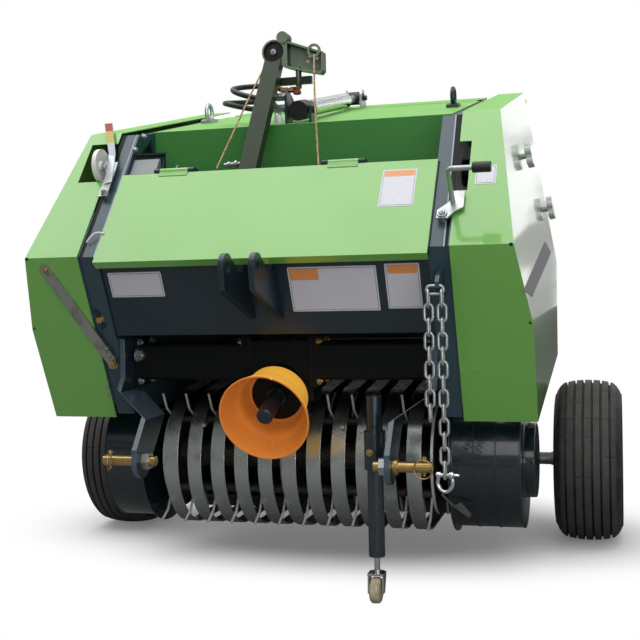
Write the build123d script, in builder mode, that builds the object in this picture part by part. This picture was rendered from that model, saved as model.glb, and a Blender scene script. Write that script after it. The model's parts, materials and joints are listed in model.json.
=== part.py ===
from build123d import *
import math
import os

os.makedirs("parts", exist_ok=True)

# Sizes are in millimetres. The baler stands on its two wheels and its front jockey stand.
# X points to the right of someone looking at the hitch end, +Y to the rear, +Z up.
# Side profiles are given from the wheel axle: first the distance behind it, then the height.
axle_y = 226.0
wheel_x = 633.0
tyre_radius = 203.0
tyre_width = 165.0
rim_radius = 102.0

# bale chamber
chamber_y = 60.0
chamber_z = 776.0
bale_radius = 250.0
chamber_half = 352.0
roller_radius = 52.0
roller_core = 44.0
roller_shaft = 15.0
bearing_fit = 0.05
end_play = 6.0
plate = 6.0
part_line = 150.0
gate_gap = 6.0
gate_rim = 12.0

# side cover outline
nose_y, nose_z = -765.0, 736.0
foot_y, foot_z = -598.0, 375.0
slope_deg = 50.7
slope_length = 376.0
cover_inner = 395.0
cover_outer = 547.0
cover_lean = 10.0
fold_y, fold_z, fold_deg = -679.0, 583.0, 8.5
cover_rear_y = 215.0
cover_rear_z = 457.0
cover_skin = 3.0

# posts, lid and twine box
post_drop = 5.3
post_skin = 6.0
seat_end = 130.0
seat_wide = 15.0
lid_thick = 5.0
lid_half = 354.0
lid_start, lid_end = -17.0, 237.0
lip_depth = 20.0
box_rear_y = -436.0
box_top_z = 1037.0
box_floor_z = 560.0
panel_in = 10.0
sheet = 3.0

# cross beam and gearbox
beam_y, beam_z, beam_size = -575.0, 502.0, 80.0
gear_half = 75.0
gear_front_y, gear_rear_y, gear_foot_z, gear_top_z = -612.0, -515.0, 415.0, 548.0

# lower hitch
hitch_thick = 12.0
hitch_pin_y, hitch_pin_z = -748.0, 303.0
hitch_pin_radius = 11.0
hitch_x = 268.0

# top link ears
ear_x = 31.0
ear_thick = 12.0
ear_y, ear_z = -850.0, 704.0
ear_radius = 28.0
ear_foot, ear_head = 112.0, 10.0
ear_hole = 9.75

# drive shaft and its guard
shaft_y, shaft_z = -625.0, 433.5
shaft_droop = 21.0
shaft_radius = 17.45
shaft_reach = 108.0
journal_radius = 21.0
journal_back, journal_end = 58.0, 16.0
guard_back_radius = 68.0
guard_mouth_radius = 97.0
guard_length = 112.0
guard_wall = 4.0
snout_radius = 55.0
snout_back, snout_end = 36.0, 14.0
guard_bead = 8.0

# pickup
reel_y, reel_z = -400.0, 265.0
band_radius = 162.0
band_wide = 33.0
band_pitch = 56.0
band_count = 11
band_thick = 4.0
tine_reach, tine_knee = 205.0, 166.0
tine_bar_at = 112.0
tine_radius = 3.0
reel_half = 316.0
reel_shaft = 15.0
bar_turn = 36
housing_radius = 150.0
housing_left_x, housing_right_x = -454.0, 505.0
cap_radius = 83.0
cap_x = 530.0

# jockey stand
stand_x, stand_y = 214.0, -642.0
sleeve_top, sleeve_foot = 359.0, 278.0
sleeve_radius = 22.5
leg_radius = 17.0
leg_top, leg_foot = 432.0, 95.0
slide_fit = 0.1
caster_radius = 27.0
caster_wide = 22.0
caster_trail = 14.0

# gate ram and gate hinge
ram_y, ram_rise = -400.0, 28.5
eye_y, eye_rise = 150.0, 26.7
hinge_y, hinge_z = 126.0, 1128.0
ram_radius = 20.0
rod_radius = 10.0
ram_length = 440.0
hinge_pin = 10.0
arm_x = 377.0
arm_thick = 8.0
gate_cover_y = 240.0
gate_cover_x = 470.0

# twine mast
mast_x = -68.0
mast_foot_y, mast_foot_z = -580.0, 925.0
mast_top_y, mast_top_z = -375.0, 1200.0
mast_wide = 40.0

# lifting eyes
eye_x, lift_y = 322.0, -150.0

# chain on its hook at the right post
chain_y, chain_top = -787.0, 661.0
chain_strands = [(357.0, 9), (383.0, 13)]
link_length, link_wide, link_rod = 39.4, 22.0, 6.0
link_slack = 0.05
hook_x, hook_thick = 371.0, 8.0
shackle_half, shackle_rod, shackle_pin, shackle_drop = 12.0, 7.0, 4.0, 33.0

# crank, indicator and lever
crank_x, crank_s = 377.0, 74.0
crank_rod = 5.0
crank_reach = 103.0
grip_radius = 10.5
pointer_x, pointer_s = -381.0, 180.0
wheel_s, wheel_out, wheel_r, wheel_wide = 258.0, 12.0, 37.0, 19.0
lever_foot = (-368.0, 503.0)
lever_tip = (-480.0, 722.0)
lever_wide, lever_thick = 24.0, 5.0

# knobs that hold the side covers: behind the axle, height
knob_places = [(-207.0, 960.0), (150.0, 854.0)]
knob_radius = 30.0

# hoses of the ram
hose_radius = 6.5
port_x = -34.0
ports = [(-402.0, 1106.0), (-398.0, 1080.0)]


def rad(angle):
    return math.radians(angle)


def side(x):
    # a plane across the machine: its first axis runs to the rear, its second axis up
    return Plane(origin=(x, axle_y, 0), x_dir=(0, 1, 0), z_dir=(1, 0, 0))


def write(builder, name):
    builder.part.label = name
    export_step(builder.part, f"parts/{name}.step")


slope_u = (math.cos(rad(slope_deg)), math.sin(rad(slope_deg)))
slope_n = (-slope_u[1], slope_u[0])


def on_slope(s, out):
    # a point of the side profile, s up the slope from the nose and out from the cover's skin
    return (nose_y + s * slope_u[0] + out * slope_n[0], nose_z + s * slope_u[1] + out * slope_n[1])


def slope_plane(x, out):
    y, z = on_slope(0, out)
    return Plane(origin=(x, axle_y + y, z), x_dir=(1, 0, 0), z_dir=(0, slope_n[0], slope_n[1]))


under = math.atan2(foot_y - nose_y, nose_z - foot_z)
front_n = (-math.cos(under), -math.sin(under))


def on_front(z, out):
    # a point of the undercut front at height z, out from the cover's skin
    y = nose_y + (nose_z - z) * math.tan(under)
    return (y + out * front_n[0], z + out * front_n[1])


def on_ring(angle, radius):
    return (chamber_y + radius * math.cos(rad(angle)), chamber_z + radius * math.sin(rad(angle)))


def corner(front_out, slope_out):
    # where the front and the slope, each moved out from the skin, meet
    fy, fz = on_front(nose_z, front_out)
    sy, sz = on_slope(0, slope_out)
    dy, dz = math.sin(under), -math.cos(under)
    t = ((sy - fy) * slope_u[1] - (sz - fz) * slope_u[0]) / (dy * slope_u[1] - dz * slope_u[0])
    return (fy + t * dy, fz + t * dz)


roller_at = bale_radius + roller_radius
gate_radius = roller_at + roller_radius + gate_rim
top_slope = math.atan2(hinge_z + 20 - box_top_z, hinge_y - 30 - box_rear_y)
front_rollers = [("top", 90), ("upper", 120), ("front", 150), ("lower", 180), ("feed", 210), ("floor", 270)]
gate_rollers = [("crown", 60), ("high", 30), ("middle", 0), ("low", -30), ("sill", -60)]



def sheet_at(y):
    # height of the top sheet
    return box_top_z + (y - box_rear_y) * math.tan(top_slope)


ram_z = sheet_at(ram_y) + ram_rise
top_edge_y = 94.0
top_edge_z = sheet_at(top_edge_y)

# side frames: plate, front post and bearing bosses
with BuildPart() as side_frame_right:
    with BuildSketch(side(chamber_half)):
        with BuildLine():
            Polyline(
                on_front(foot_z + 6, -post_drop),
                corner(-post_drop, -post_drop),
                on_slope(slope_length - 4, -post_drop),
                (box_rear_y, box_top_z - sheet),
                (top_edge_y, top_edge_z - sheet),
                (hinge_y, top_edge_z - sheet),
                (part_line, hinge_z - 30),
                (part_line, chamber_z - roller_at - 60),
                (reel_y + 120, foot_z + 10),
                close=True,
            )
        make_face()
        with BuildLine():
            Polyline(
                (box_rear_y - 20, box_top_z - 18), (box_rear_y - 6, box_top_z - 54),
                (box_rear_y - 86, box_top_z - 62), close=True)
        make_face(mode=Mode.SUBTRACT)
    extrude(amount=plate)
    with BuildSketch(side(chamber_half)):
        with BuildLine():
            Polyline(
                on_front(foot_z + 6, -post_drop),
                corner(-post_drop, -post_drop),
                on_slope(slope_length - 4, -post_drop),
                on_slope(slope_length - 4, -post_drop - post_skin),
                corner(-post_drop - post_skin, -post_drop - post_skin),
                on_front(foot_z + 6, -post_drop - post_skin),
                close=True,
            )
        make_face()
    extrude(amount=cover_inner - chamber_half - 3)
    with BuildSketch(side(chamber_half)):
        with BuildLine():
            Polyline(
                (box_rear_y, box_top_z - sheet),
                (top_edge_y, top_edge_z - sheet),
                (top_edge_y, top_edge_z - sheet - post_skin),
                (box_rear_y, box_top_z - sheet - post_skin),
                close=True,
            )
        make_face()
    extrude(amount=cover_inner - chamber_half - 3)
    with BuildSketch(side(cover_inner - 3)):
        with BuildLine():
            Polyline(
                on_front(foot_z + 30, -cover_skin),
                corner(-cover_skin, -cover_skin),
                on_slope(seat_end, -cover_skin),
                on_slope(seat_end, -post_drop - post_skin),
                corner(-post_drop - post_skin, -post_drop - post_skin),
                on_front(foot_z + 30, -post_drop - post_skin),
                close=True,
            )
        make_face()
    extrude(amount=seat_wide)
    with BuildSketch(side(chamber_half + plate)):
        for name, angle in front_rollers:
            with Locations(on_ring(angle, roller_at)):
                Circle(34)
        with Locations((hinge_y, hinge_z)):
            Circle(24)
    extrude(amount=16)
    with BuildSketch(side(chamber_half)):
        for name, angle in front_rollers:
            with Locations(on_ring(angle, roller_at)):
                Circle(roller_shaft + bearing_fit)
        with Locations((hinge_y, hinge_z)):
            Circle(hinge_pin + bearing_fit)
    extrude(amount=plate + 16, mode=Mode.SUBTRACT)
with BuildPart() as side_frame_left:
    add(side_frame_right.part)
    mirror(about=Plane.YZ, mode=Mode.REPLACE)
with side_frame_right:
    with BuildSketch(side(hook_x)):
        with BuildLine():
            Polyline(
                on_front(chain_top + 30, -post_drop - 1), on_front(chain_top - 24, -post_drop - 1),
                (chain_y - 8, chain_top - 6), (chain_y - 8, chain_top + 6), (chain_y + 2, chain_top + 18),
                close=True)
        make_face()
        with Locations((chain_y, chain_top)):
            Circle(link_rod / 2 + 1.5, mode=Mode.SUBTRACT)
    extrude(amount=hook_thick)
write(side_frame_right, "side_frame_right")
write(side_frame_left, "side_frame_left")

# cross beam in two halves, with the flanges that bolt to the gearbox
with BuildPart() as cross_beam:
    for sign in (-1, 1):
        inner = sign * gear_half
        outer = sign * (chamber_half - hitch_thick)
        with BuildSketch(side(inner)):
            with Locations((beam_y, beam_z)):
                RectangleRounded(beam_size, beam_size, 8)
                RectangleRounded(beam_size - 10, beam_size - 10, 4, mode=Mode.SUBTRACT)
        extrude(amount=outer - inner)
        for x, way in ((inner, sign), (outer, -sign)):
            with BuildSketch(side(x)):
                with Locations((beam_y, beam_z)):
                    Rectangle(beam_size + 4, beam_size + 30)
            extrude(amount=way * 10)
write(cross_beam, "cross_beam")

# gearbox: cast block, with the snout that carries the drive shaft's guard
droop_dir = (0, -math.cos(rad(shaft_droop)), -math.sin(rad(shaft_droop)))
shaft_plane = Plane(origin=(0, axle_y + shaft_y, shaft_z), x_dir=(1, 0, 0), z_dir=droop_dir)
with BuildPart() as gearbox:
    with BuildSketch(side(-gear_half)):
        with BuildLine():
            Polyline(
                (gear_front_y, gear_foot_z), (gear_front_y, gear_top_z), (gear_rear_y, gear_top_z),
                (gear_rear_y, gear_foot_z + 47), (gear_rear_y - 45, gear_foot_z), close=True)
        make_face()
    extrude(amount=2 * gear_half)
    with BuildSketch(shaft_plane.offset(-snout_back)):
        Circle(snout_radius)
    extrude(amount=snout_back + snout_end)
    with BuildSketch(shaft_plane.offset(-journal_back - 2)):
        Circle(journal_radius + bearing_fit)
    extrude(amount=journal_back + 2 + snout_end, mode=Mode.SUBTRACT)
    for sign in (-1, 1):
        with BuildSketch(side(sign * gear_half)):
            with Locations((beam_y, beam_z)):
                Rectangle(beam_size + 4, beam_size + 30)
        extrude(amount=-sign * 10)
write(gearbox, "gearbox")

with BuildPart() as pto_shaft:
    with BuildSketch(shaft_plane.offset(-journal_back)):
        Circle(journal_radius)
    extrude(amount=journal_back + journal_end)
    with BuildSketch(shaft_plane.offset(journal_end)):
        Circle(shaft_radius)
    extrude(amount=shaft_reach - journal_end)
    chamfer(pto_shaft.faces().sort_by(Axis.Z)[0].edges(), length=3)
write(pto_shaft, "pto_shaft")

def guard_line(outer):
    # half section of the bell: along the shaft, then out from it
    inset = 0 if outer else guard_wall
    knee, rim = guard_length * 0.36, guard_length - guard_bead
    return [
        (inset, guard_back_radius - 7 - inset), (inset + 2, guard_back_radius - 2 - inset),
        (inset + 7, guard_back_radius - inset), (knee, guard_back_radius + 2 - inset),
        (knee + 12, guard_back_radius + 5 - inset), (knee + 22, guard_back_radius + 12 - inset),
        (rim, guard_mouth_radius - 3 - inset), (guard_length, guard_mouth_radius - inset),
    ]


guard_plane = Plane(origin=shaft_plane.origin, x_dir=droop_dir, z_dir=(1, 0, 0))
with BuildPart() as pto_guard:
    with BuildSketch(guard_plane):
        with BuildLine():
            points = guard_line(True)
            Line((0, snout_radius + 0.2), points[0])
            ThreePointArc(*points[0:3])
            Line(points[2], points[3])
            ThreePointArc(*points[3:6])
            Polyline(*points[5:8])
            inner = guard_line(False)
            Line(points[7], inner[7])
            Polyline(inner[7], inner[6], inner[5])
            ThreePointArc(*inner[5:2:-1])
            Line(inner[3], inner[2])
            ThreePointArc(*inner[2::-1])
            Polyline(inner[0], (guard_wall, snout_radius + 0.2), (0, snout_radius + 0.2))
        make_face()
    revolve(axis=Axis(shaft_plane.origin, droop_dir))
write(pto_guard, "pto_guard")

# twine box: dark front panel and floor
with BuildPart() as twine_box:
    with BuildSketch(side(-chamber_half)):
        with BuildLine():
            Polyline(
                corner(-panel_in, -post_drop - 4),
                on_front(box_floor_z, -panel_in),
                (box_rear_y - 1, box_floor_z),
                (box_rear_y - 1, box_floor_z + sheet),
                on_front(box_floor_z + sheet, -panel_in - sheet),
                corner(-panel_in - sheet, -post_drop - 4),
                close=True,
            )
        make_face()
    extrude(amount=2 * chamber_half)
write(twine_box, "twine_box")

# hinge rail, which carries the lid's hinges, the twine mast and the knife box
lid_hinge_y, lid_hinge_z = on_slope(lid_end + 7, -2)
rail_y, rail_z = on_slope(lid_end + 12, -26)
rail_top = rail_z + 10
hinge_places = [(-232.0, 66.0), (152.0, 66.0)]
with BuildPart() as hinge_rail:
    with BuildSketch(side(-chamber_half)):
        with Locations((rail_y + 20, rail_z)):
            Rectangle(48, 20)
        with Locations((rail_y + 20 + sheet, rail_z - sheet)):
            Rectangle(48, 20, mode=Mode.SUBTRACT)
    extrude(amount=2 * chamber_half)
    for x, wide in hinge_places:
        for start in (x - wide / 2 - 14, x + wide / 2 + 0.5):
            with BuildSketch(side(start)):
                with Locations((lid_hinge_y, lid_hinge_z)):
                    Circle(6.5)
                with BuildLine():
                    Polyline(
                        (lid_hinge_y, lid_hinge_z - 6), (lid_hinge_y, lid_hinge_z + 6),
                        (rail_y + 8, rail_top + 3), (rail_y + 8, rail_top - 1),
                        (rail_y - 3, rail_top - 8), close=True)
                make_face()
            extrude(amount=13.5)
        with BuildSketch(side(x - wide / 2 - 5)):
            with Locations((lid_hinge_y, lid_hinge_z)):
                Circle(3)
        extrude(amount=wide + 10)
    # back plate and gusset behind the knife box
    with BuildSketch(side(-chamber_half)):
        with Locations((rail_y + 44 - 2, rail_top + 24)):
            Rectangle(4, 54)
        with Locations((rail_y + 44 - 7, rail_top + 48)):
            Rectangle(14, 4)
    extrude(amount=72)
    with BuildSketch(side(-chamber_half + 68)):
        with BuildLine():
            Polyline((rail_y + 18, rail_top), (rail_y + 42, rail_top + 48), (rail_y + 42, rail_top), close=True)
        make_face()
    extrude(amount=4)
    with BuildSketch(side(-chamber_half + 98)):
        with BuildLine():
            Polyline((rail_y + 12, rail_top - 1), (rail_y + 44, rail_top + 22), (rail_y + 44, rail_top - 1), close=True)
        make_face()
    extrude(amount=5)
write(hinge_rail, "hinge_rail")
with BuildPart() as knife_box:
    with BuildSketch(side(-chamber_half + 2)):
        with BuildLine():
            Polyline((rail_y - 2, rail_top), (rail_y + 26, rail_top + 36), (rail_y + 34, rail_top + 36),
                     (rail_y + 34, rail_top), close=True)
        make_face()
    extrude(amount=62)
write(knife_box, "knife_box")

# green rear wall of the twine box and the chamber's top sheet
with BuildPart() as top_cover:
    with BuildSketch(side(-chamber_half)):
        with BuildLine():
            Polyline(
                (box_rear_y, box_floor_z),
                (box_rear_y, box_top_z),
                (top_edge_y, top_edge_z),
                (top_edge_y, top_edge_z - sheet),
                (box_rear_y + sheet, box_top_z - sheet),
                (box_rear_y + sheet, box_floor_z),
                close=True,
            )
        make_face()
    extrude(amount=2 * chamber_half)
    with BuildSketch(side(-chamber_half - plate)):
        with BuildLine():
            Polyline(
                (box_rear_y, box_top_z),
                (top_edge_y, top_edge_z),
                (top_edge_y, top_edge_z - sheet),
                (box_rear_y, box_top_z - sheet),
                close=True,
            )
        make_face()
    extrude(amount=2 * (chamber_half + plate))
    with BuildSketch(Plane.XY.offset(hinge_z - 40)):
        with Locations((0, axle_y + top_edge_y)):
            Rectangle(84, 70)
    extrude(amount=100, mode=Mode.SUBTRACT)
write(top_cover, "top_cover")

# lid over the front of the twine box, with the knuckles of its two hinges
with BuildPart() as lid:
    with BuildSketch(side(-lid_half)):
        with BuildLine():
            Polyline(
                on_slope(lid_start, 0),
                on_slope(lid_end, 0),
                on_slope(lid_end, -lid_thick),
                on_slope(lid_start + sheet, -lid_thick),
                on_slope(lid_start + sheet, -lip_depth),
                on_slope(lid_start, -lip_depth),
                close=True,
            )
        make_face()
    extrude(amount=2 * lid_half)
    for x, wide in hinge_places:
        with BuildSketch(side(x - wide / 2)):
            with Locations((lid_hinge_y, lid_hinge_z)):
                Circle(6.5)
            with BuildLine():
                Polyline(on_slope(lid_end - 10, 1.5), on_slope(lid_end + 7, 4), on_slope(lid_end + 7, -4),
                         on_slope(lid_end - 10, -1), close=True)
            make_face()
            with Locations((lid_hinge_y, lid_hinge_z)):
                Circle(3 + bearing_fit, mode=Mode.SUBTRACT)
        extrude(amount=wide)
write(lid, "lid")

# side covers: folded sheet boxes, open to the frame, below and behind
cover_rear_top = nose_z + slope_length * slope_u[1] + (
    cover_rear_y - nose_y - slope_length * slope_u[0]) * math.tan(top_slope)


def cover_block():
    with BuildPart() as block:
        with BuildSketch(side(cover_inner)):
            with BuildLine():
                Polyline(
                    (foot_y, foot_z),
                    (nose_y, nose_z),
                    on_slope(slope_length, 0),
                    (cover_rear_y, cover_rear_top),
                    (cover_rear_y, cover_rear_z),
                    close=True,
                )
            make_face()
        extrude(amount=cover_outer - cover_inner)
        fold_n = (
            math.cos(rad(cover_lean)),
            -math.sin(rad(cover_lean)) * math.sin(rad(fold_deg)),
            math.sin(rad(cover_lean)) * math.cos(rad(fold_deg)),
        )
        split(
            bisect_by=Plane(origin=(cover_outer, axle_y + fold_y, fold_z), z_dir=fold_n),
            keep=Keep.BOTTOM,
        )
        open_faces = [
            block.faces().sort_by(Axis.X)[0],
            block.faces().filter_by(Axis.Y).sort_by(Axis.Y)[-1],
            block.faces().sort_by(Axis.Z)[0],
        ]
        offset(amount=-cover_skin, openings=open_faces)
    return block


with BuildPart() as side_cover_right:
    add(cover_block().part)
    with BuildSketch(slope_plane(cover_inner, 5)):
        with Locations((12, 215)):
            Rectangle(26, 140)
    extrude(amount=-30, mode=Mode.SUBTRACT)
write(side_cover_right, "side_cover_right")
with BuildPart() as side_cover_left:
    add(cover_block().part)
    with BuildSketch(slope_plane(cover_inner, 5)):
        with Locations((32, 281)):
            Rectangle(66, 120)
    extrude(amount=-30, mode=Mode.SUBTRACT)
    mirror(about=Plane.YZ, mode=Mode.REPLACE)
write(side_cover_left, "side_cover_left")

# star knobs that hold the side covers
with BuildPart() as cover_knobs:
    for y, z in knob_places:
        lean_n = (
            math.cos(rad(cover_lean)),
            -math.sin(rad(cover_lean)) * math.sin(rad(fold_deg)),
            math.sin(rad(cover_lean)) * math.cos(rad(fold_deg)),
        )
        x = cover_outer - ((y - fold_y) * lean_n[1] + (z - fold_z) * lean_n[2]) / lean_n[0]
        knob_plane = Plane(origin=(x, axle_y + y, z), x_dir=(0, 1, 0.15), z_dir=lean_n)
        with BuildSketch(knob_plane):
            Circle(7)
        extrude(amount=8)
        with BuildSketch(knob_plane.offset(8)):
            Circle(knob_radius * 0.68)
            with PolarLocations(knob_radius * 0.7, 5):
                Circle(knob_radius * 0.36)
        extrude(amount=15)
    mirror(about=Plane.YZ)
write(cover_knobs, "cover_knobs")

# crank on the right post, with its grip
crank_knee_x = crank_x + 19
with BuildPart() as crank:
    with BuildSketch(slope_plane(0, -post_drop)):
        with Locations((crank_x, crank_s)):
            Circle(10)
    extrude(amount=post_drop + 14)
    with BuildSketch(slope_plane(0, 5)):
        with BuildLine():
            Polyline(
                (crank_x - 11, crank_s - 11), (crank_x + 11, crank_s - 11), (crank_x + 24, crank_s + 6),
                (crank_x + 41, crank_s + 17), (crank_x + 41, crank_s + 61), (crank_x + 12, crank_s + 61),
                (crank_x + 12, crank_s + 32), (crank_x - 11, crank_s + 11),
                close=True)
        make_face()
    extrude(amount=5)
    stem = slope_plane(crank_knee_x, 10)
    with BuildLine() as crank_path:
        FilletPolyline(
            stem.from_local_coords((0, crank_s + 30, 0)),
            stem.from_local_coords((0, crank_s + 30, crank_reach - 10)),
            stem.from_local_coords((60, crank_s + 30, crank_reach - 10)),
            radius=12)
    with BuildSketch(Plane(origin=crank_path.line @ 0, z_dir=crank_path.line % 0)):
        Circle(crank_rod)
    sweep(path=crank_path.wires()[0])
write(crank, "crank")
with BuildPart() as crank_grip:
    grip_at = slope_plane(0, crank_reach).from_local_coords((0, crank_s + 30, 0))
    with BuildSketch(Plane(origin=(crank_knee_x + 48, grip_at.Y, grip_at.Z), x_dir=(0, 1, 0), z_dir=(1, 0, 0))):
        Circle(grip_radius)
    extrude(amount=36)
    with BuildSketch(Plane(origin=(crank_knee_x + 48, grip_at.Y, grip_at.Z), x_dir=(0, 1, 0), z_dir=(1, 0, 0))):
        Circle(crank_rod + bearing_fit)
    extrude(amount=12, mode=Mode.SUBTRACT)
write(crank_grip, "crank_grip")

# indicator on the left post: plate, striped arm and dished wheel
with BuildPart() as indicator:
    with BuildSketch(slope_plane(0, -post_drop)):
        with Locations((pointer_x, pointer_s)):
            Circle(9)
    extrude(amount=post_drop + 12)
    with BuildSketch(slope_plane(0, 5)):
        with BuildLine():
            Polyline(
                (pointer_x + 10, pointer_s - 12), (pointer_x + 8, wheel_s + 14), (pointer_x - 18, wheel_s + 14),
                (pointer_x - 18, wheel_s - 12), (pointer_x - 12, wheel_s - 16), (pointer_x - 10, pointer_s - 12),
                close=True)
        make_face()
    extrude(amount=3)
    with BuildSketch(slope_plane(0, 8)):
        with BuildLine():
            Polyline(
                (pointer_x - 4, pointer_s + 22), (pointer_x + 12, pointer_s + 28), (pointer_x - 4, pointer_s + 117),
                (pointer_x - 42, pointer_s + 222), (pointer_x - 60, pointer_s + 217),
                (pointer_x - 21, pointer_s + 118), close=True)
        make_face()
    extrude(amount=3)
    with BuildSketch(side(pointer_x - 18)):
        with BuildLine():
            Polyline(
                on_slope(wheel_s - 12, -12), on_slope(wheel_s + 12, -12), on_slope(wheel_s + 12, wheel_out + 7),
                on_slope(wheel_s - 12, wheel_out + 7), close=True)
        make_face()
    extrude(amount=3)
    with BuildSketch(side(pointer_x - 16)):
        with Locations(on_slope(wheel_s, wheel_out)):
            Circle(4)
    extrude(amount=-wheel_wide - 11)
write(indicator, "indicator")
indicator_left = pointer_x - 42
with BuildPart() as indicator_wheel:
    with BuildSketch(Plane(origin=(indicator_left, axle_y + on_slope(wheel_s, wheel_out)[0],
                                   on_slope(wheel_s, wheel_out)[1]), x_dir=(1, 0, 0), z_dir=(0, -1, 0))):
        with BuildLine():
            Polyline(
                (0, 4.05), (0, 9), (6, 11), (12, wheel_r - 9), (9, wheel_r - 3), (9, wheel_r),
                (wheel_wide, wheel_r), (wheel_wide, wheel_r - 3), (wheel_wide - 2, wheel_r - 10),
                (wheel_wide - 5, 11), (wheel_wide - 1, 9), (wheel_wide - 1, 4.05), close=True)
        make_face()
    revolve(axis=Axis((indicator_left, axle_y + on_slope(wheel_s, wheel_out)[0],
                       on_slope(wheel_s, wheel_out)[1]), (1, 0, 0)))
write(indicator_wheel, "indicator_wheel")


def front_plane(x, out):
    # a plane on the undercut front: its first axis runs right, its second axis up the front
    y, z = on_front(nose_z, out)
    return Plane(origin=(x, axle_y + y, z), x_dir=(1, 0, 0), z_dir=(0, front_n[0], front_n[1]))


# flat lever beside the left post
with BuildPart() as side_lever:
    foot_x, foot_at = lever_foot[0], -(nose_z - lever_foot[1]) / math.cos(under)
    tip_x, tip_at = lever_tip[0], -(nose_z - lever_tip[1]) / math.cos(under)
    lever_turn = math.degrees(math.atan2(tip_at - foot_at, tip_x - foot_x))
    lever_length = math.hypot(tip_at - foot_at, tip_x - foot_x)
    with BuildSketch(front_plane(0, 0.5)):
        with Locations(((foot_x + tip_x) / 2, (foot_at + tip_at) / 2)):
            SlotOverall(lever_length, lever_wide, rotation=lever_turn)
        with Locations((tip_x + 10, tip_at - 18)):
            Circle(5, mode=Mode.SUBTRACT)
    extrude(amount=lever_thick)
    for share in (0.04, 0.14):
        with BuildSketch(front_plane(0, -post_drop)):
            with Locations((foot_x + 2 + share * (tip_x - foot_x), foot_at + share * (tip_at - foot_at))):
                Circle(8)
        extrude(amount=post_drop + 0.5 + lever_thick + 7)
write(side_lever, "side_lever")

# top link ears on the front panel
with BuildPart() as top_link_ears:
    for x in (-ear_x, ear_x):
        with BuildSketch(side(x - ear_thick / 2)):
            with BuildLine():
                Polyline(
                    (ear_y - ear_radius, ear_z),
                    (ear_y - ear_radius + 6, ear_z - 46),
                    on_front(ear_z - ear_foot, -panel_in),
                    on_front(ear_z - ear_head, -panel_in),
                    (ear_y + 62, ear_z - 8),
                    (ear_y + 34, ear_z + 12),
                    (ear_y, ear_z + ear_radius),
                    close=True,
                )
            make_face()
            with Locations((ear_y, ear_z)):
                Circle(ear_radius)
                Circle(ear_hole, mode=Mode.SUBTRACT)
        extrude(amount=ear_thick)
write(top_link_ears, "top_link_ears")

# lower hitch plates, joggled inwards on their way down and forwards
with BuildPart() as hitch_plates:
    with BuildSketch(Plane.XZ.offset(-axle_y + 820)):
        with BuildLine():
            Polyline(
                (chamber_half, 556), (chamber_half, 447), (hitch_x + 6, 394), (hitch_x + 6, 256),
                (hitch_x - 6, 256), (hitch_x - 6, 388), (chamber_half - hitch_thick, 441),
                (chamber_half - hitch_thick, 556),
                close=True,
            )
        make_face()
    extrude(amount=-260)
    with BuildSketch(side(200)):
        with BuildLine():
            Polyline(
                (-660, 556), (-574, 556), (-574, 450), (-712, 296), (hitch_pin_y, hitch_pin_z - 34),
                (hitch_pin_y - 32, hitch_pin_z - 12), (-782, 330), (-662, 470),
                close=True,
            )
        make_face()
        with Locations((hitch_pin_y, hitch_pin_z)):
            Circle(36)
    extrude(amount=200, mode=Mode.INTERSECT)
    with BuildSketch(side(200)):
        with Locations((hitch_pin_y, hitch_pin_z)):
            Circle(hitch_pin_radius)
    extrude(amount=200, mode=Mode.SUBTRACT)
    mirror(about=Plane.YZ)
write(hitch_plates, "hitch_plates")

with BuildPart() as hitch_pins:
    with BuildSketch(side(hitch_x - 34)):
        with Locations((hitch_pin_y, hitch_pin_z)):
            Circle(hitch_pin_radius)
    extrude(amount=353 - hitch_x + 34)
    with BuildSketch(side(hitch_x + 6)):
        with Locations((hitch_pin_y, hitch_pin_z)):
            Circle(17)
    extrude(amount=10)
    with BuildSketch(side(hitch_x - 6 - 16)):
        with Locations((hitch_pin_y, hitch_pin_z)):
            RegularPolygon(19, 6)
    extrude(amount=16)
    mirror(about=Plane.YZ)
write(hitch_pins, "hitch_pins")


# chain: one long link through the hook, two strands of links and a bow shackle
def chain_link(plane):
    # a faceted link about the plane's origin, its long way along the plane's second axis
    a, b = (link_wide - link_rod) / 2, (link_length - link_wide) / 2
    c = a * math.cos(rad(45))
    quarter = [(a, b), (c, b + c), (0, b + a), (-c, b + c), (-a, b)]
    with BuildPart() as link:
        with BuildLine() as path:
            Polyline(*quarter, *[(-x, -y) for x, y in quarter], close=True)
        with BuildSketch(Plane(origin=(a, 0, 0), x_dir=(1, 0, 0), z_dir=(0, 1, 0))):
            RegularPolygon(link_rod / 2, 6)
        sweep(path=path.wires()[0], transition=Transition.RIGHT)
    return plane * link.part


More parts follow.
